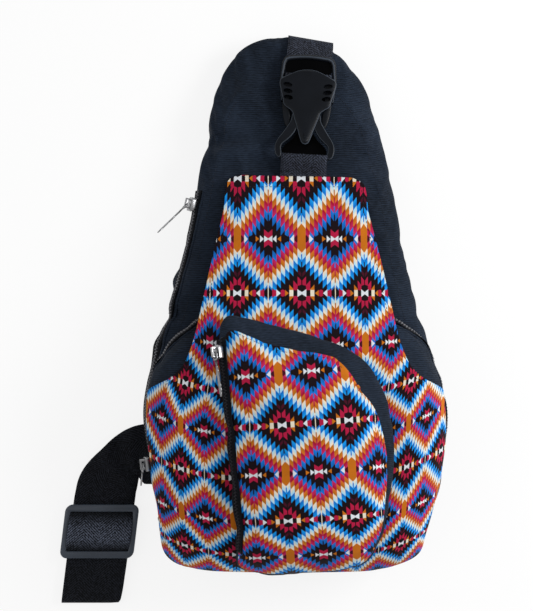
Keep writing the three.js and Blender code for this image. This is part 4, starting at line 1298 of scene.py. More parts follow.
def ribbon(points, across, half, columns=6, curl=None):
    """A flat band along points, with its length: a grid whose rows are moved to the line."""
    mesh = bmesh.new()
    bmesh.ops.create_grid(mesh, x_segments=columns, y_segments=len(points) - 1, size=0.5)
    gone = distances(points)
    places = {}
    for vert in mesh.verts:
        row = round((vert.co.y + 0.5) * (len(points) - 1))
        side = vert.co.x * 2
        spot = points[row] + across[row] * half * side
        if curl is not None:
            spot = spot + curl(row, side)
        places[vert] = (side * half * MM, gone[row] * MM)
        vert.co = Vector(spot) * MM
    lay_flat(mesh, lambda vert: places[vert])
    return mesh, gone[-1]


def facing(along, across, out):
    """A turn that takes the X, Y and Z axes to three directions."""
    return Matrix(np.stack([along, across, out], 1).tolist()).to_4x4()


# %% Teeth and tapes
TOOTH = (0.9, 2.2, 1.4)
TOOTH_ASIDE = 0.72
TOOTH_UP = 0.75
TOOTH_BEVEL = 0.28
TAPE_LIFT = 0.25


def zip_teeth(name, spots, outs, nodes, coil):
    """Small rounded blocks, by turns to the left and right of the zip's line."""
    mesh = bmesh.new()
    along, across, outs = frames_along(spots, outs)
    sizes = Matrix.Diagonal([*(s * MM for s in TOOTH), 1])
    for i, spot in enumerate(spots):
        side = TOOTH_ASIDE if i % 2 else -TOOTH_ASIDE
        middle = spot + across[i] * side + outs[i] * TOOTH_UP
        place = Matrix.Translation(Vector(middle) * MM) @ facing(along[i], across[i], outs[i]) @ sizes
        bmesh.ops.create_cube(mesh, size=1, matrix=place)
    bmesh.ops.bevel(
        mesh, geom=list(mesh.edges), offset=TOOTH_BEVEL * MM, segments=1, profile=0.5, affect="EDGES",
        material=-1,
    )
    piece = new_piece(name, mesh, [coil], "bag")
    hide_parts(*nodes)


def zip_tape(name, spots, outs, nodes, half):
    """The woven tape under the teeth."""
    _, across, outs = frames_along(spots, outs)
    mesh, length = ribbon(spots + outs * TAPE_LIFT, across, half, 4)
    bmesh.ops.recalc_face_normals(mesh, faces=mesh.faces)
    piece = new_piece(name, mesh, [tape_cloth], "bag")
    thicken(piece, "tape_thickness", 0.0006, 0)
    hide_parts(*nodes)


# %% Folded lips beside the teeth
WELT_WIDE, WELT_TALL, WELT_LIFT = 1.7, 0.75, 0.1


def zip_lips(name, skin, spots, outs, reach):
    """Two folded canvas edges beside the teeth: half-round welts that bed into the wall."""
    _, across, _ = frames_along(spots, outs)
    whole = bmesh.new()
    for side in (LEFT, RIGHT):
        line, up = dropped(skin, spots + across * side * reach)
        _, aside, up = frames_along(line, up)
        fresh = bmesh.ops.create_circle(whole, cap_ends=False, segments=8, radius=1)["verts"]
        ring = [e for e in whole.edges if e.verts[0] in fresh]
        shape = [v.co.copy() for v in fresh]
        for i, spot in enumerate(line):
            if i:
                ring, fresh = grown(whole, ring)
            taper = min(1.0, 0.35 + min(i, len(line) - 1 - i) * 0.2)
            for vert, near in zip(fresh, shape):
                wide = aside[i] * near.x * WELT_WIDE * taper
                tall = up[i] * (near.y * WELT_TALL * taper + WELT_LIFT)
                vert.co = Vector(spot + (wide + tall)) * MM
    bmesh.ops.recalc_face_normals(whole, faces=whole.faces)
    lay_flat(whole, lambda vert: (vert.co.x, vert.co.y))
    new_piece(name, whole, [canvas], "bag")


# %% Sew in the three zips
TOOTH_PITCH = 1.3
TAPE_STEP = 4.0


def sew_zip(name, shell, line, half, lips, coil, ease=8):
    """Drops a line on a shell, eases it smooth, sinks a groove along it and lays the zip there."""
    line, _ = dropped(skin_of(shell), line)
    for _ in range(ease):
        line[1:-1] = (line[:-2] + 2 * line[1:-1] + line[2:]) / 4
    sink(shell, line)
    skin = skin_of(shell)
    spots, outs = dropped(skin, evenly(line, TOOTH_PITCH))
    coarse, coarse_outs = dropped(skin, evenly(line, TAPE_STEP))
    zip_teeth(f"{name}_teeth", spots, outs, [f"{name}_zip_chain"], coil)
    zip_tape(f"{name}_tape", coarse, coarse_outs, [f"{name}_zip_tape"], half)
    if lips:
        zip_lips(f"{name}_lips", skin, coarse, coarse_outs, lips)
    print(name, "zip", len(spots), "teeth")


main_line = wall_line(main, math.radians(13), (20, LEFT), (258, LEFT))
front_line = wall_line(front, math.radians(15), (36, LEFT), (36, RIGHT))
pocket_line = wall_line(pocket, math.radians(17), (-18, LEFT), (140, LEFT))
sew_zip("main", main_shell, main_line, 5.4, 7.0, lit_coil_nylon, ease=60)
sew_zip("front", front_shell, front_line, 5.1, 5.6, lit_coil_nylon)
sew_zip("pocket", pocket_shell, pocket_line, 5.1, 0, dark_coil)

# %% [markdown]
# ## Runners and pulls
# Each zip has a cast runner with a bail, and a slim pull that hangs from it by a squared eye. The
# runner's shape is right in the frame, so a merged copy of it gets rounded edges. Casting rounds every
# corner, and it is those corners that catch the light. The eye could be modelled corner by corner, but
# a spun ring pushed out to a square is quicker.

# %% Round off a copy of a frame node
SHARP = math.radians(28)


def softened(name, node, material, body, radius, segments=2):
    """A merged copy of a node with bevelled edges."""
    mesh = bmesh.new()
    mesh.from_mesh(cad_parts[node].data)
    bmesh.ops.remove_doubles(mesh, verts=mesh.verts, dist=0.00002)
    bmesh.ops.dissolve_limit(mesh, angle_limit=math.radians(2), verts=mesh.verts, edges=mesh.edges)
    bmesh.ops.recalc_face_normals(mesh, faces=mesh.faces)
    piece = new_piece(name, mesh, [material], body)
    rounding = piece.modifiers.new("rounded_edges", "BEVEL")
    rounding.width = radius
    rounding.segments = segments
    rounding.limit_method = "ANGLE"
    rounding.angle_limit = SHARP
    rounding.harden_normals = True
    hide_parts(node)
    return piece


for zip_name in ("main", "front", "pocket"):
    softened(f"{zip_name}_runner", f"{zip_name}_zip_slider", nickel, f"{zip_name}_slider", 0.0004)
print("runners rounded")

# %% Slim pulls with an eye
def rod(mesh, points, wide, thick, sides=12):
    """An oval rod along points (x, y, z), with half sizes for each point."""
    points = np.asarray(points, float)
    along = np.gradient(points, axis=0)
    along /= np.linalg.norm(along, axis=1)[:, None]
    start = bmesh.ops.create_circle(mesh, cap_ends=True, segments=sides, radius=1)["verts"]
    shape = [v.co.copy() for v in start]
    cap = start[0].link_faces[0]
    for i, point in enumerate(points):
        if i:
            made = bmesh.ops.extrude_face_region(mesh, geom=[cap])["geom"]
            cap = [g for g in made if isinstance(g, bmesh.types.BMFace)][0]
        side = np.cross(along[i], (0, 0, 1))
        side /= np.linalg.norm(side)
        for vert, near in zip(cap.verts if i else start, shape):
            vert.co = Vector(point + side * near.x * wide[i] + np.array((0, 0, 1)) * near.y * thick[i]) * MM
    return cap


PULL_WIRE = 0.66
EYE_BACK = 3.63
EYE_SPUN = 3
EYE_HALF_WIDE, EYE_HALF_TALL = 2.11, 2.93
PULL_WIDTHS = [1.2, 1.35, 1.45, 1.5, 1.55, 1.6, 1.65, 1.6, 0.9]


def squared_eye(mesh):
    """A wire ring, spun round and then pushed out to a square with rounded corners."""
    wire = bmesh.ops.create_circle(
        mesh, segments=10, radius=PULL_WIRE * MM,
        matrix=Matrix.Translation((EYE_SPUN * MM, 0, 0)) @ Matrix.Rotation(math.pi / 2, 4, "X"))["verts"]
    edges = list({e for v in wire for e in v.link_edges})
    bmesh.ops.spin(
        mesh, geom=edges + wire, cent=(0, 0, 0), axis=(0, 0, 1), angle=2 * math.pi, steps=32, use_merge=True)
    for vert in mesh.verts:
        out = Vector((vert.co.x, vert.co.y, 0)).normalized()
        squared = [math.copysign(math.sqrt(abs(part)), part) for part in out]
        corner = Vector((EYE_HALF_WIDE * squared[0], EYE_HALF_TALL * squared[1], 0)) * MM
        vert.co += corner - out * EYE_SPUN * MM


def slim_pull(name, node, runner, body, share):
    """A flat bar with an eye at the runner's end, laid along the node's longest direction."""
    points = np.array([v.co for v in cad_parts[node].data.vertices]) / MM
    near = np.array([v.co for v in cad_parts[runner].data.vertices]).mean(0) / MM
    middle = points.mean(0)
    axes = np.linalg.svd(points - middle, full_matrices=False)[2]
    along, thin = axes[0], axes[2]
    if (middle - near) @ along < 0:
        along = -along
    if thin[2] < 0:
        thin = -thin
    reach = (points - middle) @ along
    level = (points - middle) @ thin
    eye = middle + along * (reach.min() + EYE_BACK) + thin * (level.min() + level.max()) / 2
    length = (float(np.ptp(reach)) - EYE_BACK) * share
    mesh = bmesh.new()
    squared_eye(mesh)
    places = np.linspace(2.8, length - 0.3, len(PULL_WIDTHS))
    rod(mesh, [(0, y, 0) for y in places], PULL_WIDTHS, [PULL_WIRE] * 8 + [0.4])
    turn = facing(np.cross(along, thin), along, thin)
    bmesh.ops.transform(mesh, matrix=Matrix.Translation(Vector(eye) * MM) @ turn, verts=mesh.verts)
    bmesh.ops.recalc_face_normals(mesh, faces=mesh.faces)
    piece = new_piece(name, mesh, [nickel], body)
    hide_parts(node)
    return length


for zip_name, share in (("main", 1.0), ("front", 0.45), ("pocket", 1.0)):
    length = slim_pull(
        f"{zip_name}_pull_tab", f"{zip_name}_zip_pull", f"{zip_name}_zip_slider", f"{zip_name}_pull", share)
    print(zip_name, "pull", round(length, 1), "mm")

# %% [markdown]
# ## Shoulder strap
# The strap is one length of 50 mm webbing: out of the left seam, round a bend, down to a fold, back
# underneath itself and up the middle of the back. Webbing doesn't stretch sideways, so the bend throws
# a few diagonal folds.

# %% The strap's line
STRAP_HIGH, STRAP_LOW = 6.0, 0.8
STRAP_SEAM = 47.0
STRAP_RUN = 90.5
BEND_RADIUS = 34
FOLD_RADIUS = 2.6
SWEEP_RADIUS = 46
BACK_X = 8
BACK_END = 14
strap_lean = math.radians(7)
down = np.array([-math.sin(strap_lean), -math.cos(strap_lean), 0])
back_share = float(main.section(-main.tuck)[0]) + 0.004
seam_side = []
for share in (-0.5, 0, 0.5):
    heading = heading_for(main, -main.tuck, STRAP_SEAM + share * STRAP_WIDE, LEFT)
    seam_side.append(main.radius(heading) * back_share * math.cos(heading))
seam_x = min(seam_side) - 0.2
bend_x = seam_x - 6


def strap_arc(x, radius, turn, z, count):
    """Points and across directions of a level bend from the seam's height, down with a radius below 0."""
    angles = np.linspace(0, turn, count)
    points = [x + radius * np.sin(angles), STRAP_SEAM + radius * (1 - np.cos(angles)), np.full(count, z)]
    across = [np.sin(angles), -np.cos(angles), np.zeros(count)]
    return np.stack(points, -1), np.stack(across, -1)


bend_turn = math.pi / 2 - strap_lean
upper, upper_across = strap_arc(bend_x, -BEND_RADIUS, bend_turn, STRAP_HIGH, 26)
lower, lower_across = strap_arc(bend_x, -BEND_RADIUS, bend_turn, STRAP_LOW, 26)
sweep, sweep_across = strap_arc(BACK_X - SWEEP_RADIUS, SWEEP_RADIUS, math.pi / 2, STRAP_LOW, 22)
bend_end = upper[-1] * (1, 1, 0)
run_across = upper_across[-1]
print("strap leaves the seam at", round(seam_x, 1), "and its bend ends at", bend_end.round(1))

# %% Down to the fold, back and up
def down_run(gone, z):
    """A point of the straight run, some way below the bend and at a height."""
    return bend_end + down * gone + (0, 0, z)


def levelled(points):
    """Across directions that turn level down the run, as the webbing is skewed by its own weight."""
    gone = (points - bend_end) @ down
    return run_across + np.array((0, math.sin(strap_lean), 0)) * eased(gone, 4, 26)[:, None]


run = np.array([down_run(s, STRAP_HIGH) for s in np.linspace(0, STRAP_RUN, 34)[1:]])
fold = np.array([
    down_run(STRAP_RUN + FOLD_RADIUS * math.sin(a), STRAP_LOW + FOLD_RADIUS * (1 + math.cos(a)))
    for a in np.linspace(0, math.pi, 14)[1:]
])
back = np.array([down_run(s, STRAP_LOW) for s in np.linspace(STRAP_RUN, 0, 26)[1:]])
back_top = main.centre[1] + main.radius(math.pi / 2) * back_share - BACK_END
climb = np.array([(BACK_X, y, STRAP_LOW) for y in np.linspace(STRAP_SEAM + SWEEP_RADIUS, back_top, 40)[1:]])
strap_points = np.concatenate([
    [[seam_x + 6, STRAP_SEAM, STRAP_HIGH]], upper, run, fold, back, lower[::-1][1:], sweep, climb,
])
strap_across = np.concatenate([
    [upper_across[0]], upper_across, levelled(run), levelled(fold), levelled(back), lower_across[::-1][1:],
    sweep_across, np.repeat([sweep_across[-1]], len(climb), axis=0),
])
print("strap line", len(strap_points), "stations")

# %% Weave the strap
upper_count = 1 + len(upper)


def strap_curl(row, side):
    """A pleat at the bend's inner edge, folds across it and a rounded corner at the lower fold."""
    inner = max(side, 0.0)
    first_back = upper_count + len(run) + len(fold) + len(back)
    turned = (row / upper_count) if row < upper_count + 8 else (first_back + len(lower) - row) / len(lower)
    offset = np.array((0.0, 10.0 * inner**1.6 * math.exp(-(((turned - 0.5) / 0.2) ** 2)), 0.0))
    outer = max(-side, 0.0)
    offset += np.array((4.4, -4.6, 0.0)) * outer**1.3 * math.exp(-(((turned - 0.55) / 0.34) ** 2))
    away = abs(row - upper_count - len(run) - len(fold) / 2)
    offset += run_across * -3.2 * max(side - 0.6, 0) / 0.4 * math.exp(-((away / 7) ** 2))
    if row > upper_count + len(run) - 4:
        return offset
    lift = 0.0
    share = row / upper_count
    if share < 1.25:
        lift += 3.0 * math.exp(-(((share - 0.62 - side * 0.16) / 0.1) ** 2)) * (0.6 - side * 0.4)
        lift += 2.2 * math.exp(-(((share - 0.28 - side * 0.1) / 0.09) ** 2)) * (0.6 - side * 0.4)
    calm = min(1.0, row / 3) * min(1.0, max(0.0, (upper_count - 3 - row) / 5))
    return offset + np.array([0, 0, max(lift, 0.0) * calm])


strap_mesh, strap_length = ribbon(strap_points, strap_across, STRAP_WIDE / 2, 10, strap_curl)
bmesh.ops.recalc_face_normals(strap_mesh, faces=strap_mesh.faces)
strap = new_piece("woven_strap", strap_mesh, [strap_web], "bag")
thicken(strap, "webbing_thickness", 0.0016, 0)
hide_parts("shoulder_strap")
print("strap length", round(strap_length), "mm")

# %% [markdown]
# ## Three-bar slider
# A moulded ring sets the strap's length. Its middle bar hides under the webbing, which humps up through
# the window. The ring is the frame's own shape with softer edges, and the hump is a short band of
# webbing that travels with it, so the long strap itself can stay where it lies.

# %% Ring and hump
RING_DOWN, RING_UP = 37, 3.0
HUMP_REACH = 17.5
HUMP_FOOT = 17.0
HUMP_LOW, HUMP_TALL = 7.0, 4.6
HUMP_HALF = 26.2
ring_spot = bend_end + down * RING_DOWN
strap_ring = softened("strap_ring", "strap_slider", ring_nylon, "glide", 0.0017, 4)
for vert in strap_ring.data.vertices:
    vert.co.y += math.tan(strap_lean) * (vert.co.x - ring_spot[0] * MM) + RING_UP * MM
hump_places = np.linspace(-HUMP_REACH, HUMP_REACH, 22)
hump_rises = HUMP_TALL * np.cos(np.clip(hump_places / HUMP_FOOT, -1, 1) * math.pi / 2) ** 0.8
hump_points = np.array([
    ring_spot + down * s + (0, RING_UP, HUMP_LOW + h) for s, h in zip(hump_places, hump_rises)
])
hump_mesh, hump_length = ribbon(hump_points, levelled(hump_points), HUMP_HALF, 10)
bmesh.ops.recalc_face_normals(hump_mesh, faces=hump_mesh.faces)
hump = new_piece("strap_hump", hump_mesh, [lit_hump_web], "glide")
thicken(hump, "webbing_thickness", 0.0014)
print("ring at", ring_spot.round(1), "hump length", round(hump_length, 1))

# %% [markdown]
# ## Side-release buckle
# The buckle is two acetal mouldings. The socket has a low domed hood with three oval holes on each side and
# two legs that flare to its bar; the plug is an arched frame with two press tabs. Everything is drawn in the
# buckle's own frame, which leans a little on the bag, and then put in place. A moulding is one outline taken
# through levels of inset and height, which gives its rounded edges; marked rims get a pale painted highlight,
# and near-black, rough plates inside are painted shade in its window and slot.

# %% The buckle's frame
buckle_frame = Matrix((
    (0.9984, 0.0553, 0.0075, 0.0063),
    (-0.0558, 0.9894, 0.1342, 0.285),
    (0, -0.1344, 0.9909, 0.04319),
    (0, 0, 0, 1),
))


def in_buckle(points):
    """Points of the buckle's own frame, as places on the bag."""
    return np.array([np.array(buckle_frame @ (Vector(p) * MM)) / MM for p in points])


print("buckle at", in_buckle([(0, 0, 0)]).round(1)[0], "to", in_buckle([(0, 85.6, 0)]).round(1)[0])

# %% Moulding from an outline
def two_sides(half, count):
    """A closed smooth outline from points of its right half."""
    return closed_curve(list(half) + [(-x, y) for x, y in reversed(half) if x > 0], count)


def small_oval(x, y, wide, tall, slant, count):
    """Points round an oval by its middle, half sizes and slant."""
    angles = np.linspace(0, 2 * math.pi, count + 1)[:-1]
    return [(x + wide * math.cos(a), y + tall * math.sin(a) + slant * math.cos(a)) for a in angles]


def drawn_in(outline, inset):
    """An outline moved inwards by its own normals, without crossing its middle line."""
    outline = np.asarray(outline, float)
    along = np.roll(outline, -1, axis=0) - np.roll(outline, 1, axis=0)
    along /= np.linalg.norm(along, axis=1)[:, None]
    out = np.stack([along[:, 1], -along[:, 0]], -1)
    turned = np.sum(outline[:, 0] * np.roll(outline[:, 1], -1) - np.roll(outline[:, 0], -1) * outline[:, 1])
    moved = outline - out * inset * np.sign(turned)
    side = np.sign(outline[:, 0])
    moved[:, 0] = side * np.maximum(side * moved[:, 0], 0.35 * np.abs(outline[:, 0]))
    return moved


def moulded(mesh, outline, levels):
    """A closed moulding: an outline taken through levels of inset and height, with a face at each end."""
    order = bmesh.ops.create_circle(mesh, cap_ends=True, segments=len(outline), radius=1)["verts"]
    ring = list({e for v in order for e in v.link_edges})
    for level, (inset, height, *narrow) in enumerate(levels):
        if level:
            edges, points = grown(mesh, ring)
            fresh = {tuple(v.co): v for v in points}
            order = [fresh[tuple(v.co)] for v in order]
            ring = [e for e in edges if all(v in order for v in e.verts)]
        for vert, (x, y) in zip(order, drawn_in(outline, inset)):
            vert.co = Vector((x * (1 - sum(narrow)), y, height)) * MM
    bmesh.ops.contextual_create(mesh, geom=ring)


def shade_plate(mesh, outline, low, high):
    """A near-black plate inside a moulding, in the second material: painted shade in a hollow of the buckle.
    """
    before = set(mesh.faces)
    moulded(mesh, outline, [(0, low), (0, high)])
    for face in set(mesh.faces) - before:
        face.material_index = 1


# %% Painted highlights, holes and the finished moulding
def mark_highlights(mesh, highlight_at):
    """Marks how much painted highlight each point gets, from its place along the buckle and its height."""
    painted_highlight = mesh.verts.layers.float.new("painted_highlight")
    for vert in mesh.verts:
        vert[painted_highlight] = highlight_at(vert.co.y / MM, vert.co.z / MM)


def pierced(plate, cutter):
    """A plate with a cutter's shape taken out of it; both are bmeshes, and the result is a new one."""
    held = []
    for mesh in (plate, cutter):
        bmesh.ops.recalc_face_normals(mesh, faces=mesh.faces)
        data = bpy.data.meshes.new("blank")
        mesh.to_mesh(data)
        mesh.free()
        held.append(bpy.data.objects.new("blank", data))
        scene.collection.objects.link(held[-1])
    holes = held[0].modifiers.new("holes", "BOOLEAN")
    holes.object = held[1]
    holes.solver = "MANIFOLD"
    bpy.context.view_layer.update()
    data = bpy.data.meshes.new_from_object(held[0].evaluated_get(bpy.context.evaluated_depsgraph_get()))
    result = bmesh.new()
    result.from_mesh(data)
    for blank in held:
        used = blank.data
        bpy.data.objects.remove(blank)
        bpy.data.meshes.remove(used)
    bpy.data.meshes.remove(data)
    return result


def buckle_piece(name, mesh, highlight_at, body):
    """Marks the painted highlights, puts a moulding in the buckle's place and makes it a piece."""
    bmesh.ops.recalc_face_normals(mesh, faces=mesh.faces)
    mark_highlights(mesh, highlight_at)
    bmesh.ops.transform(mesh, matrix=buckle_frame, verts=mesh.verts)
    piece = new_piece(name, mesh, [plastic, painted_shade_acetal], body)
    piece.data.set_sharp_from_angle(angle=math.radians(40))
    print(name, len(piece.data.polygons), "faces")
    return piece


# %% Socket
HOOD = [
    (0, 11.6), (2.6, 12.8), (4.5, 16.8), (6.2, 22.4), (8.2, 28.4), (9.9, 33), (11.4, 37.6), (14.6, 40.4),
    (18.2, 43.0), (19.7, 48), (21.5, 55), (22.9, 61), (22.2, 64.2), (18.5, 66.8), (13.2, 69.6), (7, 72.2),
    (0, 73.2),
]
LEG = [
    (10.8, 37), (12.2, 31), (14.6, 26.4), (18.2, 20.8), (22, 15.2), (23.8, 10.5), (23.9, 6), (22.8, 2.2),
    (20.6, 0.4), (18.8, 1.2), (18.3, 4.2), (18.9, 8), (18.2, 11), (15.2, 13.9), (11.6, 17.4), (8.4, 22),
    (6.2, 28), (5.8, 35),
]
SOCKET_BASE = [
    (0, 37), (10.4, 37), (12.2, 41), (17.8, 43.6), (20.4, 47.5), (21.6, 54), (22.2, 61.2), (0, 61.2),
]
WINDOW_SHADE = [(0, 4.9), (17.4, 4.9), (18, 8), (15.6, 12), (10, 17), (5.4, 23), (0, 25)]
HOLES = [(16.2, 59.6), (15.8, 54.4), (15.2, 49.2)]
# Each level of a moulding: its inset, its height and the share by which it narrows
HOOD_LEVELS = [
    (0.5, 8.2), (0, 8.7), (0, 9.7), (0.25, 10.3), (0.7, 10.7), (1.2, 10.95), (1.5, 11.2, 0.12),
    (1.7, 11.5, 0.35), (1.9, 11.7, 0.7),
]
LEG_LEVELS = [(0.8, 5.2), (0.2, 5.7), (0, 6.4), (0, 8.9), (0.3, 9.5), (0.8, 9.8), (1.4, 9.75)]
NUB_LEVELS = [(0, 10.6), (0, 11.7), (0.3, 12.1), (0.7, 12.2)]


def socket_highlight(_, z):
    """A painted highlight at the hood's rim and along the legs."""
    return 0.7 if 10.2 < z < 10.5 else 0.5 if 9.4 < z < 9.66 else 0.0


hood_mesh = bmesh.new()
moulded(hood_mesh, two_sides(HOOD, 112), HOOD_LEVELS)
holes = bmesh.new()
for side in (LEFT, RIGHT):
    for x, y in HOLES:
        hole = [(side * out, up) for out, up in small_oval(x, y, 3.7, 1.95, 0.5, 20)]
        moulded(holes, hole, [(0, 6), (0, 14)])
socket_mesh = pierced(hood_mesh, holes)
moulded(socket_mesh, two_sides(SOCKET_BASE, 60), [(0, 1.5), (0, 3.6)])
for side in (LEFT, RIGHT):
    cheek = [(side * (21.0 + 0.12 * (y - 52)), y, 6) for y in (47, 52, 56, 60.5)]
    rod(socket_mesh, cheek, [0.9] * 4, [3.6] * 4, 8)
    moulded(socket_mesh, closed_curve([(side * x, y) for x, y in LEG], 72), LEG_LEVELS)
rod(socket_mesh, [(x, 1.0, 6.6) for x in (-19.5, -9, 0, 9, 19.5)], [1.6] * 5, [1.7] * 5, 10)
moulded(socket_mesh, small_oval(-0.6, 18.4, 1.1, 2.3, 0, 16), NUB_LEVELS)
# Painted shade: a near-black plate between the legs, under the hood
shade_plate(socket_mesh, two_sides(WINDOW_SHADE, 40), 2.0, 2.5)
socket = buckle_piece("buckle_hood", socket_mesh, socket_highlight, "bag")
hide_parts("buckle_socket")

# %% Plug
LEFT_FRAME = [
    (-21.4, 61.8), (-21.2, 67), (-20.6, 73), (-20.0, 78.4), (-18.6, 81.6), (-15.4, 83.0), (-8, 83.9),
    (0, 84.3),
]
LEFT_WIDTHS = [1.5, 1.6, 1.7, 1.9, 2.1, 2.1, 2.0, 2.0]
PLUG_BASE = [(0, 54.2), (19.6, 54.2), (20.0, 58), (20.2, 61.9), (0, 61.9)]
TONGUE = [(0, 27.2), (2.6, 27.2), (3.9, 31), (3.9, 45), (3.9, 56), (0, 57)]
TAB = [
    (12.6, 26.8), (14.6, 25.4), (16.8, 28.4), (18.6, 34.6), (19.6, 41.5), (19.7, 48), (19.6, 57), (14.6, 57),
    (13.6, 46), (12.8, 38), (12.3, 31),
]
TAB_LEVELS = [(0.5, 4.0), (0, 4.5), (0, 7.0), (0.4, 7.5), (1.0, 7.8)]
PLATE_LEVELS = [(0, 4.1), (0, 7.6)]
SLOT_SHADE = [(0, 72.2), (18.4, 72.2), (18.4, 76), (17.6, 80.6), (12, 82.0), (0, 82.4)]


def plug_highlight(y, z):
    """A painted highlight on top of the frame outside the socket."""
    return 0.6 if z > 7.95 and y > 61 else 0.0


plug_mesh = bmesh.new()
arch = [(x, y, 6.0) for x, y in LEFT_FRAME] + [(-x, y, 6.0) for x, y in reversed(LEFT_FRAME[:-1])]
rod(plug_mesh, arch, LEFT_WIDTHS + LEFT_WIDTHS[-2::-1], [2.1] * 15)
rod(plug_mesh, [(x, 66.3, 6.0) for x in (-21, -10, 0, 10, 21)], [1.8] * 5, [2.0] * 5, 10)
moulded(plug_mesh, two_sides(PLUG_BASE, 40), PLATE_LEVELS)
moulded(plug_mesh, two_sides(TONGUE, 32), PLATE_LEVELS)
for side in (LEFT, RIGHT):
    moulded(plug_mesh, closed_curve([(side * x, y) for x, y in TAB], 44), TAB_LEVELS)
# Painted shade: a near-black plate in the window under the frame
shade_plate(plug_mesh, two_sides(SLOT_SHADE, 40), 5.4, 5.8)
plug = buckle_piece("buckle_frame_and_tabs", plug_mesh, plug_highlight, "plug")
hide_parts("buckle_plug")

# %% [markdown]
# ## Buckle webbing
# Two short lengths of 37 mm webbing hold the buckle: one comes over the top of the bag to the plug's bar, the
# other is sewn under the top of the bib. The upper one rides on no body; its place is baked into its points.

# %% Smooth lines through a few points
def smooth_line(points, pitch):
    """An even line through points by their chord spacing."""
    points = np.asarray(points, float)
    extended = np.concatenate([[2 * points[0] - points[1]], points, [2 * points[-1] - points[-2]]])
    line = []
    for i in range(1, len(extended) - 2):
        a, b, c, d = extended[i - 1:i + 3]
        for t in np.linspace(0, 1, 12, endpoint=False):
            line.append(0.5 * (2 * b + (c - a) * t + (2 * a - 5 * b + 4 * c - d) * t**2
                               + (3 * b - 3 * c + d - a) * t**3))
    line.append(points[-1])
    return evenly(line, pitch)


buckle_across = np.array(buckle_frame.col[0][:3])
print("the webbing lies across the buckle, along", buckle_across.round(3))

# %% Lower and upper lengths
OVER_BAR, UNDER_BAR, LAYER = 9.0, 3.0, 0.8
WEB_STEP = 1.6
WEB_HALF = BUCKLE_WEB_WIDE / 2
# Places along the buckle and heights over the bag, from one end of each length to the other
LOWER_ROUTE = [
    (-46, LAYER), (-30, LAYER), (-14, LAYER), (-6.1, 1.6), (-1.6, UNDER_BAR), (2.6, 3.4), (3.4, 4.4),
    (3.5, 8.0), (2.6, OVER_BAR), (-2, OVER_BAR), (-7, 5.8), (-11, 3.2), (-14, 2.5), (-24, 2.3), (-34, 2.2),
]
UPPER_ROUTE = [
    (84.6, UNDER_BAR), (71.3, UNDER_BAR), (69.8, 3.5), (69.3, 5.0), (69.3, 8.4), (68.7, OVER_BAR),
    (64.0, OVER_BAR), (63.4, 8.4), (63.4, 1.5), (64.1, LAYER), (78, LAYER),
]
lower_points = smooth_line(in_buckle([(0, y, z) for y, z in LOWER_ROUTE]), WEB_STEP)
lower_sides = np.repeat([buckle_across], len(lower_points), axis=0)
lower_mesh, lower_length = ribbon(lower_points, lower_sides, WEB_HALF, 8)
lower_web = new_piece("lower_buckle_web", lower_mesh, [buckle_web], "bag")
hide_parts("lower_webbing")

top_heading = heading_for(main, 0.0, 385.4, RIGHT)
over_top = [main.at(top_heading, math.radians(a), -1.7) + (2.5, -1.6, 0) for a in (-24, -12, 0, 10, 19)]
to_plug = in_buckle([(0, y, z) for y, z in UPPER_ROUTE])
upper_points = smooth_line(np.concatenate([over_top, to_plug]), WEB_STEP)
slope = eased(upper_points[:, 1], 364, 377)[:, None]
upper_sides = between(buckle_across, np.array((0.985, -0.17, 0)), slope)
upper_mesh, upper_length = ribbon(upper_points, upper_sides, WEB_HALF, 8)
upper_web = new_piece("upper_buckle_web", upper_mesh, [buckle_web], None)
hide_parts("top_webbing")
for web, length in ((lower_web, lower_length), (upper_web, upper_length)):
    thicken(web, "webbing_thickness", 0.0014, 0)
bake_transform(upper_web)
print("buckle webbing", round(lower_length), "and", round(upper_length), "mm")

# %% [markdown]
# ## Padded back
# The bag rests on a quilted back of air mesh, with a shallow channel where the strap runs up to the
# top. A grid is spread inside the outline, as for the other panels, and its rim is extruded up to the
# canvas wall.

# %% Air mesh finish
HOLE_WIDE, HOLE_TALL = 1.7, 1.5


def air_mesh(name):
    """Spacer cloth: dark holes in rows, each row half a hole aside of the last."""
    material, tree, shader = finish(name, 0.9, Sheen_Weight=0.03, Specular_IOR_Level=0.1)
    across, along = cloth_place(tree)
    row = math.floor(along / HOLE_TALL)
    shift = across + (row - 2 * math.floor(row / 2)) * (HOLE_WIDE / 2)
    dx = abs((shift / HOLE_WIDE).repeat(0.5)) * HOLE_WIDE
    dy = abs((along / HOLE_TALL - 0.5).repeat(0.5)) * HOLE_TALL
    hole = tree.sum("SQRT", dx * dx + dy * dy).smooth(0.32, 0.55)
    cloud = speckle(tree, object_place(tree), 40.0, 3.0)
    feed(shader, "Base Color", (hole * 0.6 + cloud * 0.4).blend(colour(8, 9, 12), colour(42, 46, 54)))
    feed(shader, "Roughness", 0.82 + cloud * 0.12)
    relief(tree, shader, hole, 0.0006, 1.0)
    return material


spacer = air_mesh("air_mesh")
print("air mesh ready")

# %% Sew the back pad
RIM_LIFT = 2.4
CHANNEL_DEEP = 1.95
QUILT_DEEP, QUILT_HALF = 1.4, 2.2
PAD_LOW = 0.12
# Heights of the pad's side, with how far out each step goes
PAD_SIDE = [(4.0, 1.004), (6.0, 1.004), (8.2, 0.996)]


def strap_distance(points):
    """How far plan points are from the strap's line behind the bag."""
    line = np.concatenate([lower[::-1], sweep, climb])[:, :2]
    return np.array([np.linalg.norm(line - p, axis=1).min() for p in points])


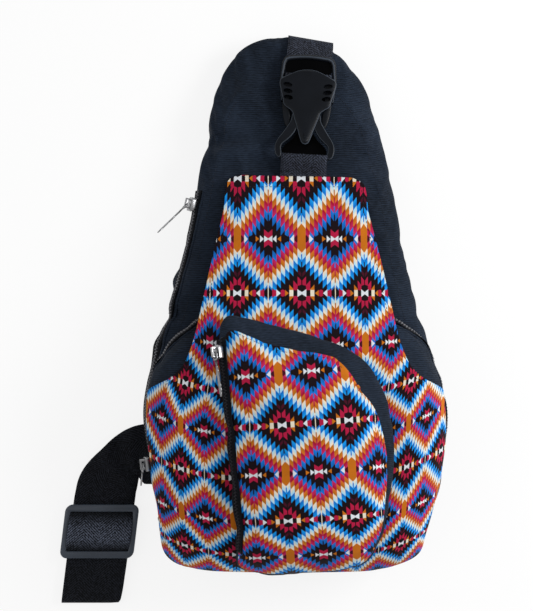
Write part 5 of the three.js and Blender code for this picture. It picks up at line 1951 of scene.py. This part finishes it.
def back_pad():
    """The quilted face, with a channel for the strap, and the side that meets the canvas wall."""
    mesh, grid = unit_grid(56, 104)
    edge = math.acos(back_share ** 3)
    plan = spread(main, lambda h: np.full(np.shape(h), edge), MAIN_CORNERS, grid[:, 0], grid[:, 1])
    x, y = plan[:, 0], plan[:, 1]
    share = np.minimum(main.share_at(x, y) / back_share, 1)
    rim = RIM_LIFT * eased(share, 0.955, 1.0)
    channel = CHANNEL_DEEP * (1 - eased(strap_distance(plan), 25.4, 29.5))
    quilt = 0.0
    for spot in (-0.62, 0.62):
        seam = spot * main.radius(0.0) * (1 - y / 620)
        quilt = np.maximum(quilt, np.exp(-(((x - seam) / QUILT_HALF) ** 2)))
    for seam in (60, 150, 240):
        quilt = np.maximum(quilt, np.exp(-(((y - seam) / QUILT_HALF) ** 2)))
    height = np.maximum(np.maximum(rim, channel), QUILT_DEEP * quilt) + PAD_LOW
    for vert, place, z in zip(mesh.verts, plan, height):
        vert.co = Vector((*place, z)) * MM
    edges = [e for e in mesh.edges if e.is_boundary]
    middle = main.centre[1] * MM
    for z, out in PAD_SIDE:
        edges, fresh = grown(mesh, edges)
        for vert in fresh:
            vert.co.x *= out
            vert.co.y = middle + (vert.co.y - middle) * out
            vert.co.z = z * MM
    lay_flat(mesh, lambda vert: (vert.co.x, vert.co.y + vert.co.z))
    bmesh.ops.recalc_face_normals(mesh, faces=mesh.faces)
    if sum(f.normal.z * f.calc_area() for f in mesh.faces) > 0:
        bmesh.ops.reverse_faces(mesh, faces=mesh.faces)
    return mesh


pad = new_piece("quilted_back", back_pad(), [spacer], "bag")
thicken(pad, "pad_cloth", 0.0012)
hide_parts("back_panel")
print("back pad", len(pad.data.polygons), "faces")

# %% [markdown]
# ## Stitches
# Thread shows along the bib's hem, round the pocket and on the webbing. Each stitch is a tiny stretched
# ball laid on the finished surface, the same way up as the cloth there; hundreds of them share one
# mesh.

# %% Rows of stitches
STITCH_LONG, STITCH_LIFT = 1.1, 0.1


def stitch_row(mesh, line, skin, pitch=3.2, fat=0.24):
    """Lays stitches along a line that is dropped onto a surface, and gives back how many."""
    spots, outs = dropped(skin, evenly(line, pitch))
    along, across, outs = frames_along(spots, outs)
    sizes = Matrix.Diagonal((STITCH_LONG * MM, fat * MM, fat * MM, 1))
    for i, spot in enumerate(spots):
        turn = facing(along[i], across[i], outs[i])
        place = Matrix.Translation(Vector(spot + outs[i] * STITCH_LIFT) * MM) @ turn @ sizes
        bmesh.ops.create_icosphere(mesh, subdivisions=1, radius=1, matrix=place)
    return len(spots)


# %% Sew the hem, the seams and the webbing
HEM_SIDE, HEM_TOP = 3.0, 264.5
BOX_HALF, BOX_PITCH = 15.5, 2.6
stitch_mesh = bmesh.new()
bib_skin = skin_of(bib)
heights = np.linspace(108, 264, 90)
count = 0
for side in (LEFT, RIGHT):
    inner = side * (bib_edge(heights, side) - HEM_SIDE)
    edge = np.stack([inner, heights, taut(inner, heights) + 4], -1)
    count += stitch_row(stitch_mesh, edge, bib_skin)
hem_y = np.full(60, HEM_TOP)
hem = np.stack([np.linspace(-47, 47, 60), hem_y, taut(np.zeros(60), hem_y) + 4], -1)
count += stitch_row(stitch_mesh, hem, bib_skin)
headings = np.linspace(math.radians(-60), math.radians(240), 400)
main_row = main.at(headings, np.full(400, math.radians(47)))
count += stitch_row(stitch_mesh, main_row, skin_of(main_shell))
headings = np.linspace(math.radians(-50), math.radians(150), 300)
pocket_row = pocket.at(headings, pocket_seam(headings) + 0.06)
count += stitch_row(stitch_mesh, pocket_row, skin_of(pocket_shell), fat=0.2)
web_skin = skin_of(lower_web)
box = [[(x, y, 6) for y in np.linspace(-16, -30, 12)] for x in (-BOX_HALF, BOX_HALF)]
box += [[(x, y, 6) for x in np.linspace(-BOX_HALF, BOX_HALF, 12)] for y in (-16, -24)]
for row in box:
    count += stitch_row(stitch_mesh, in_buckle(row), web_skin, BOX_PITCH)
new_piece("stitches", stitch_mesh, [thread], "bag")
print(count, "stitches")
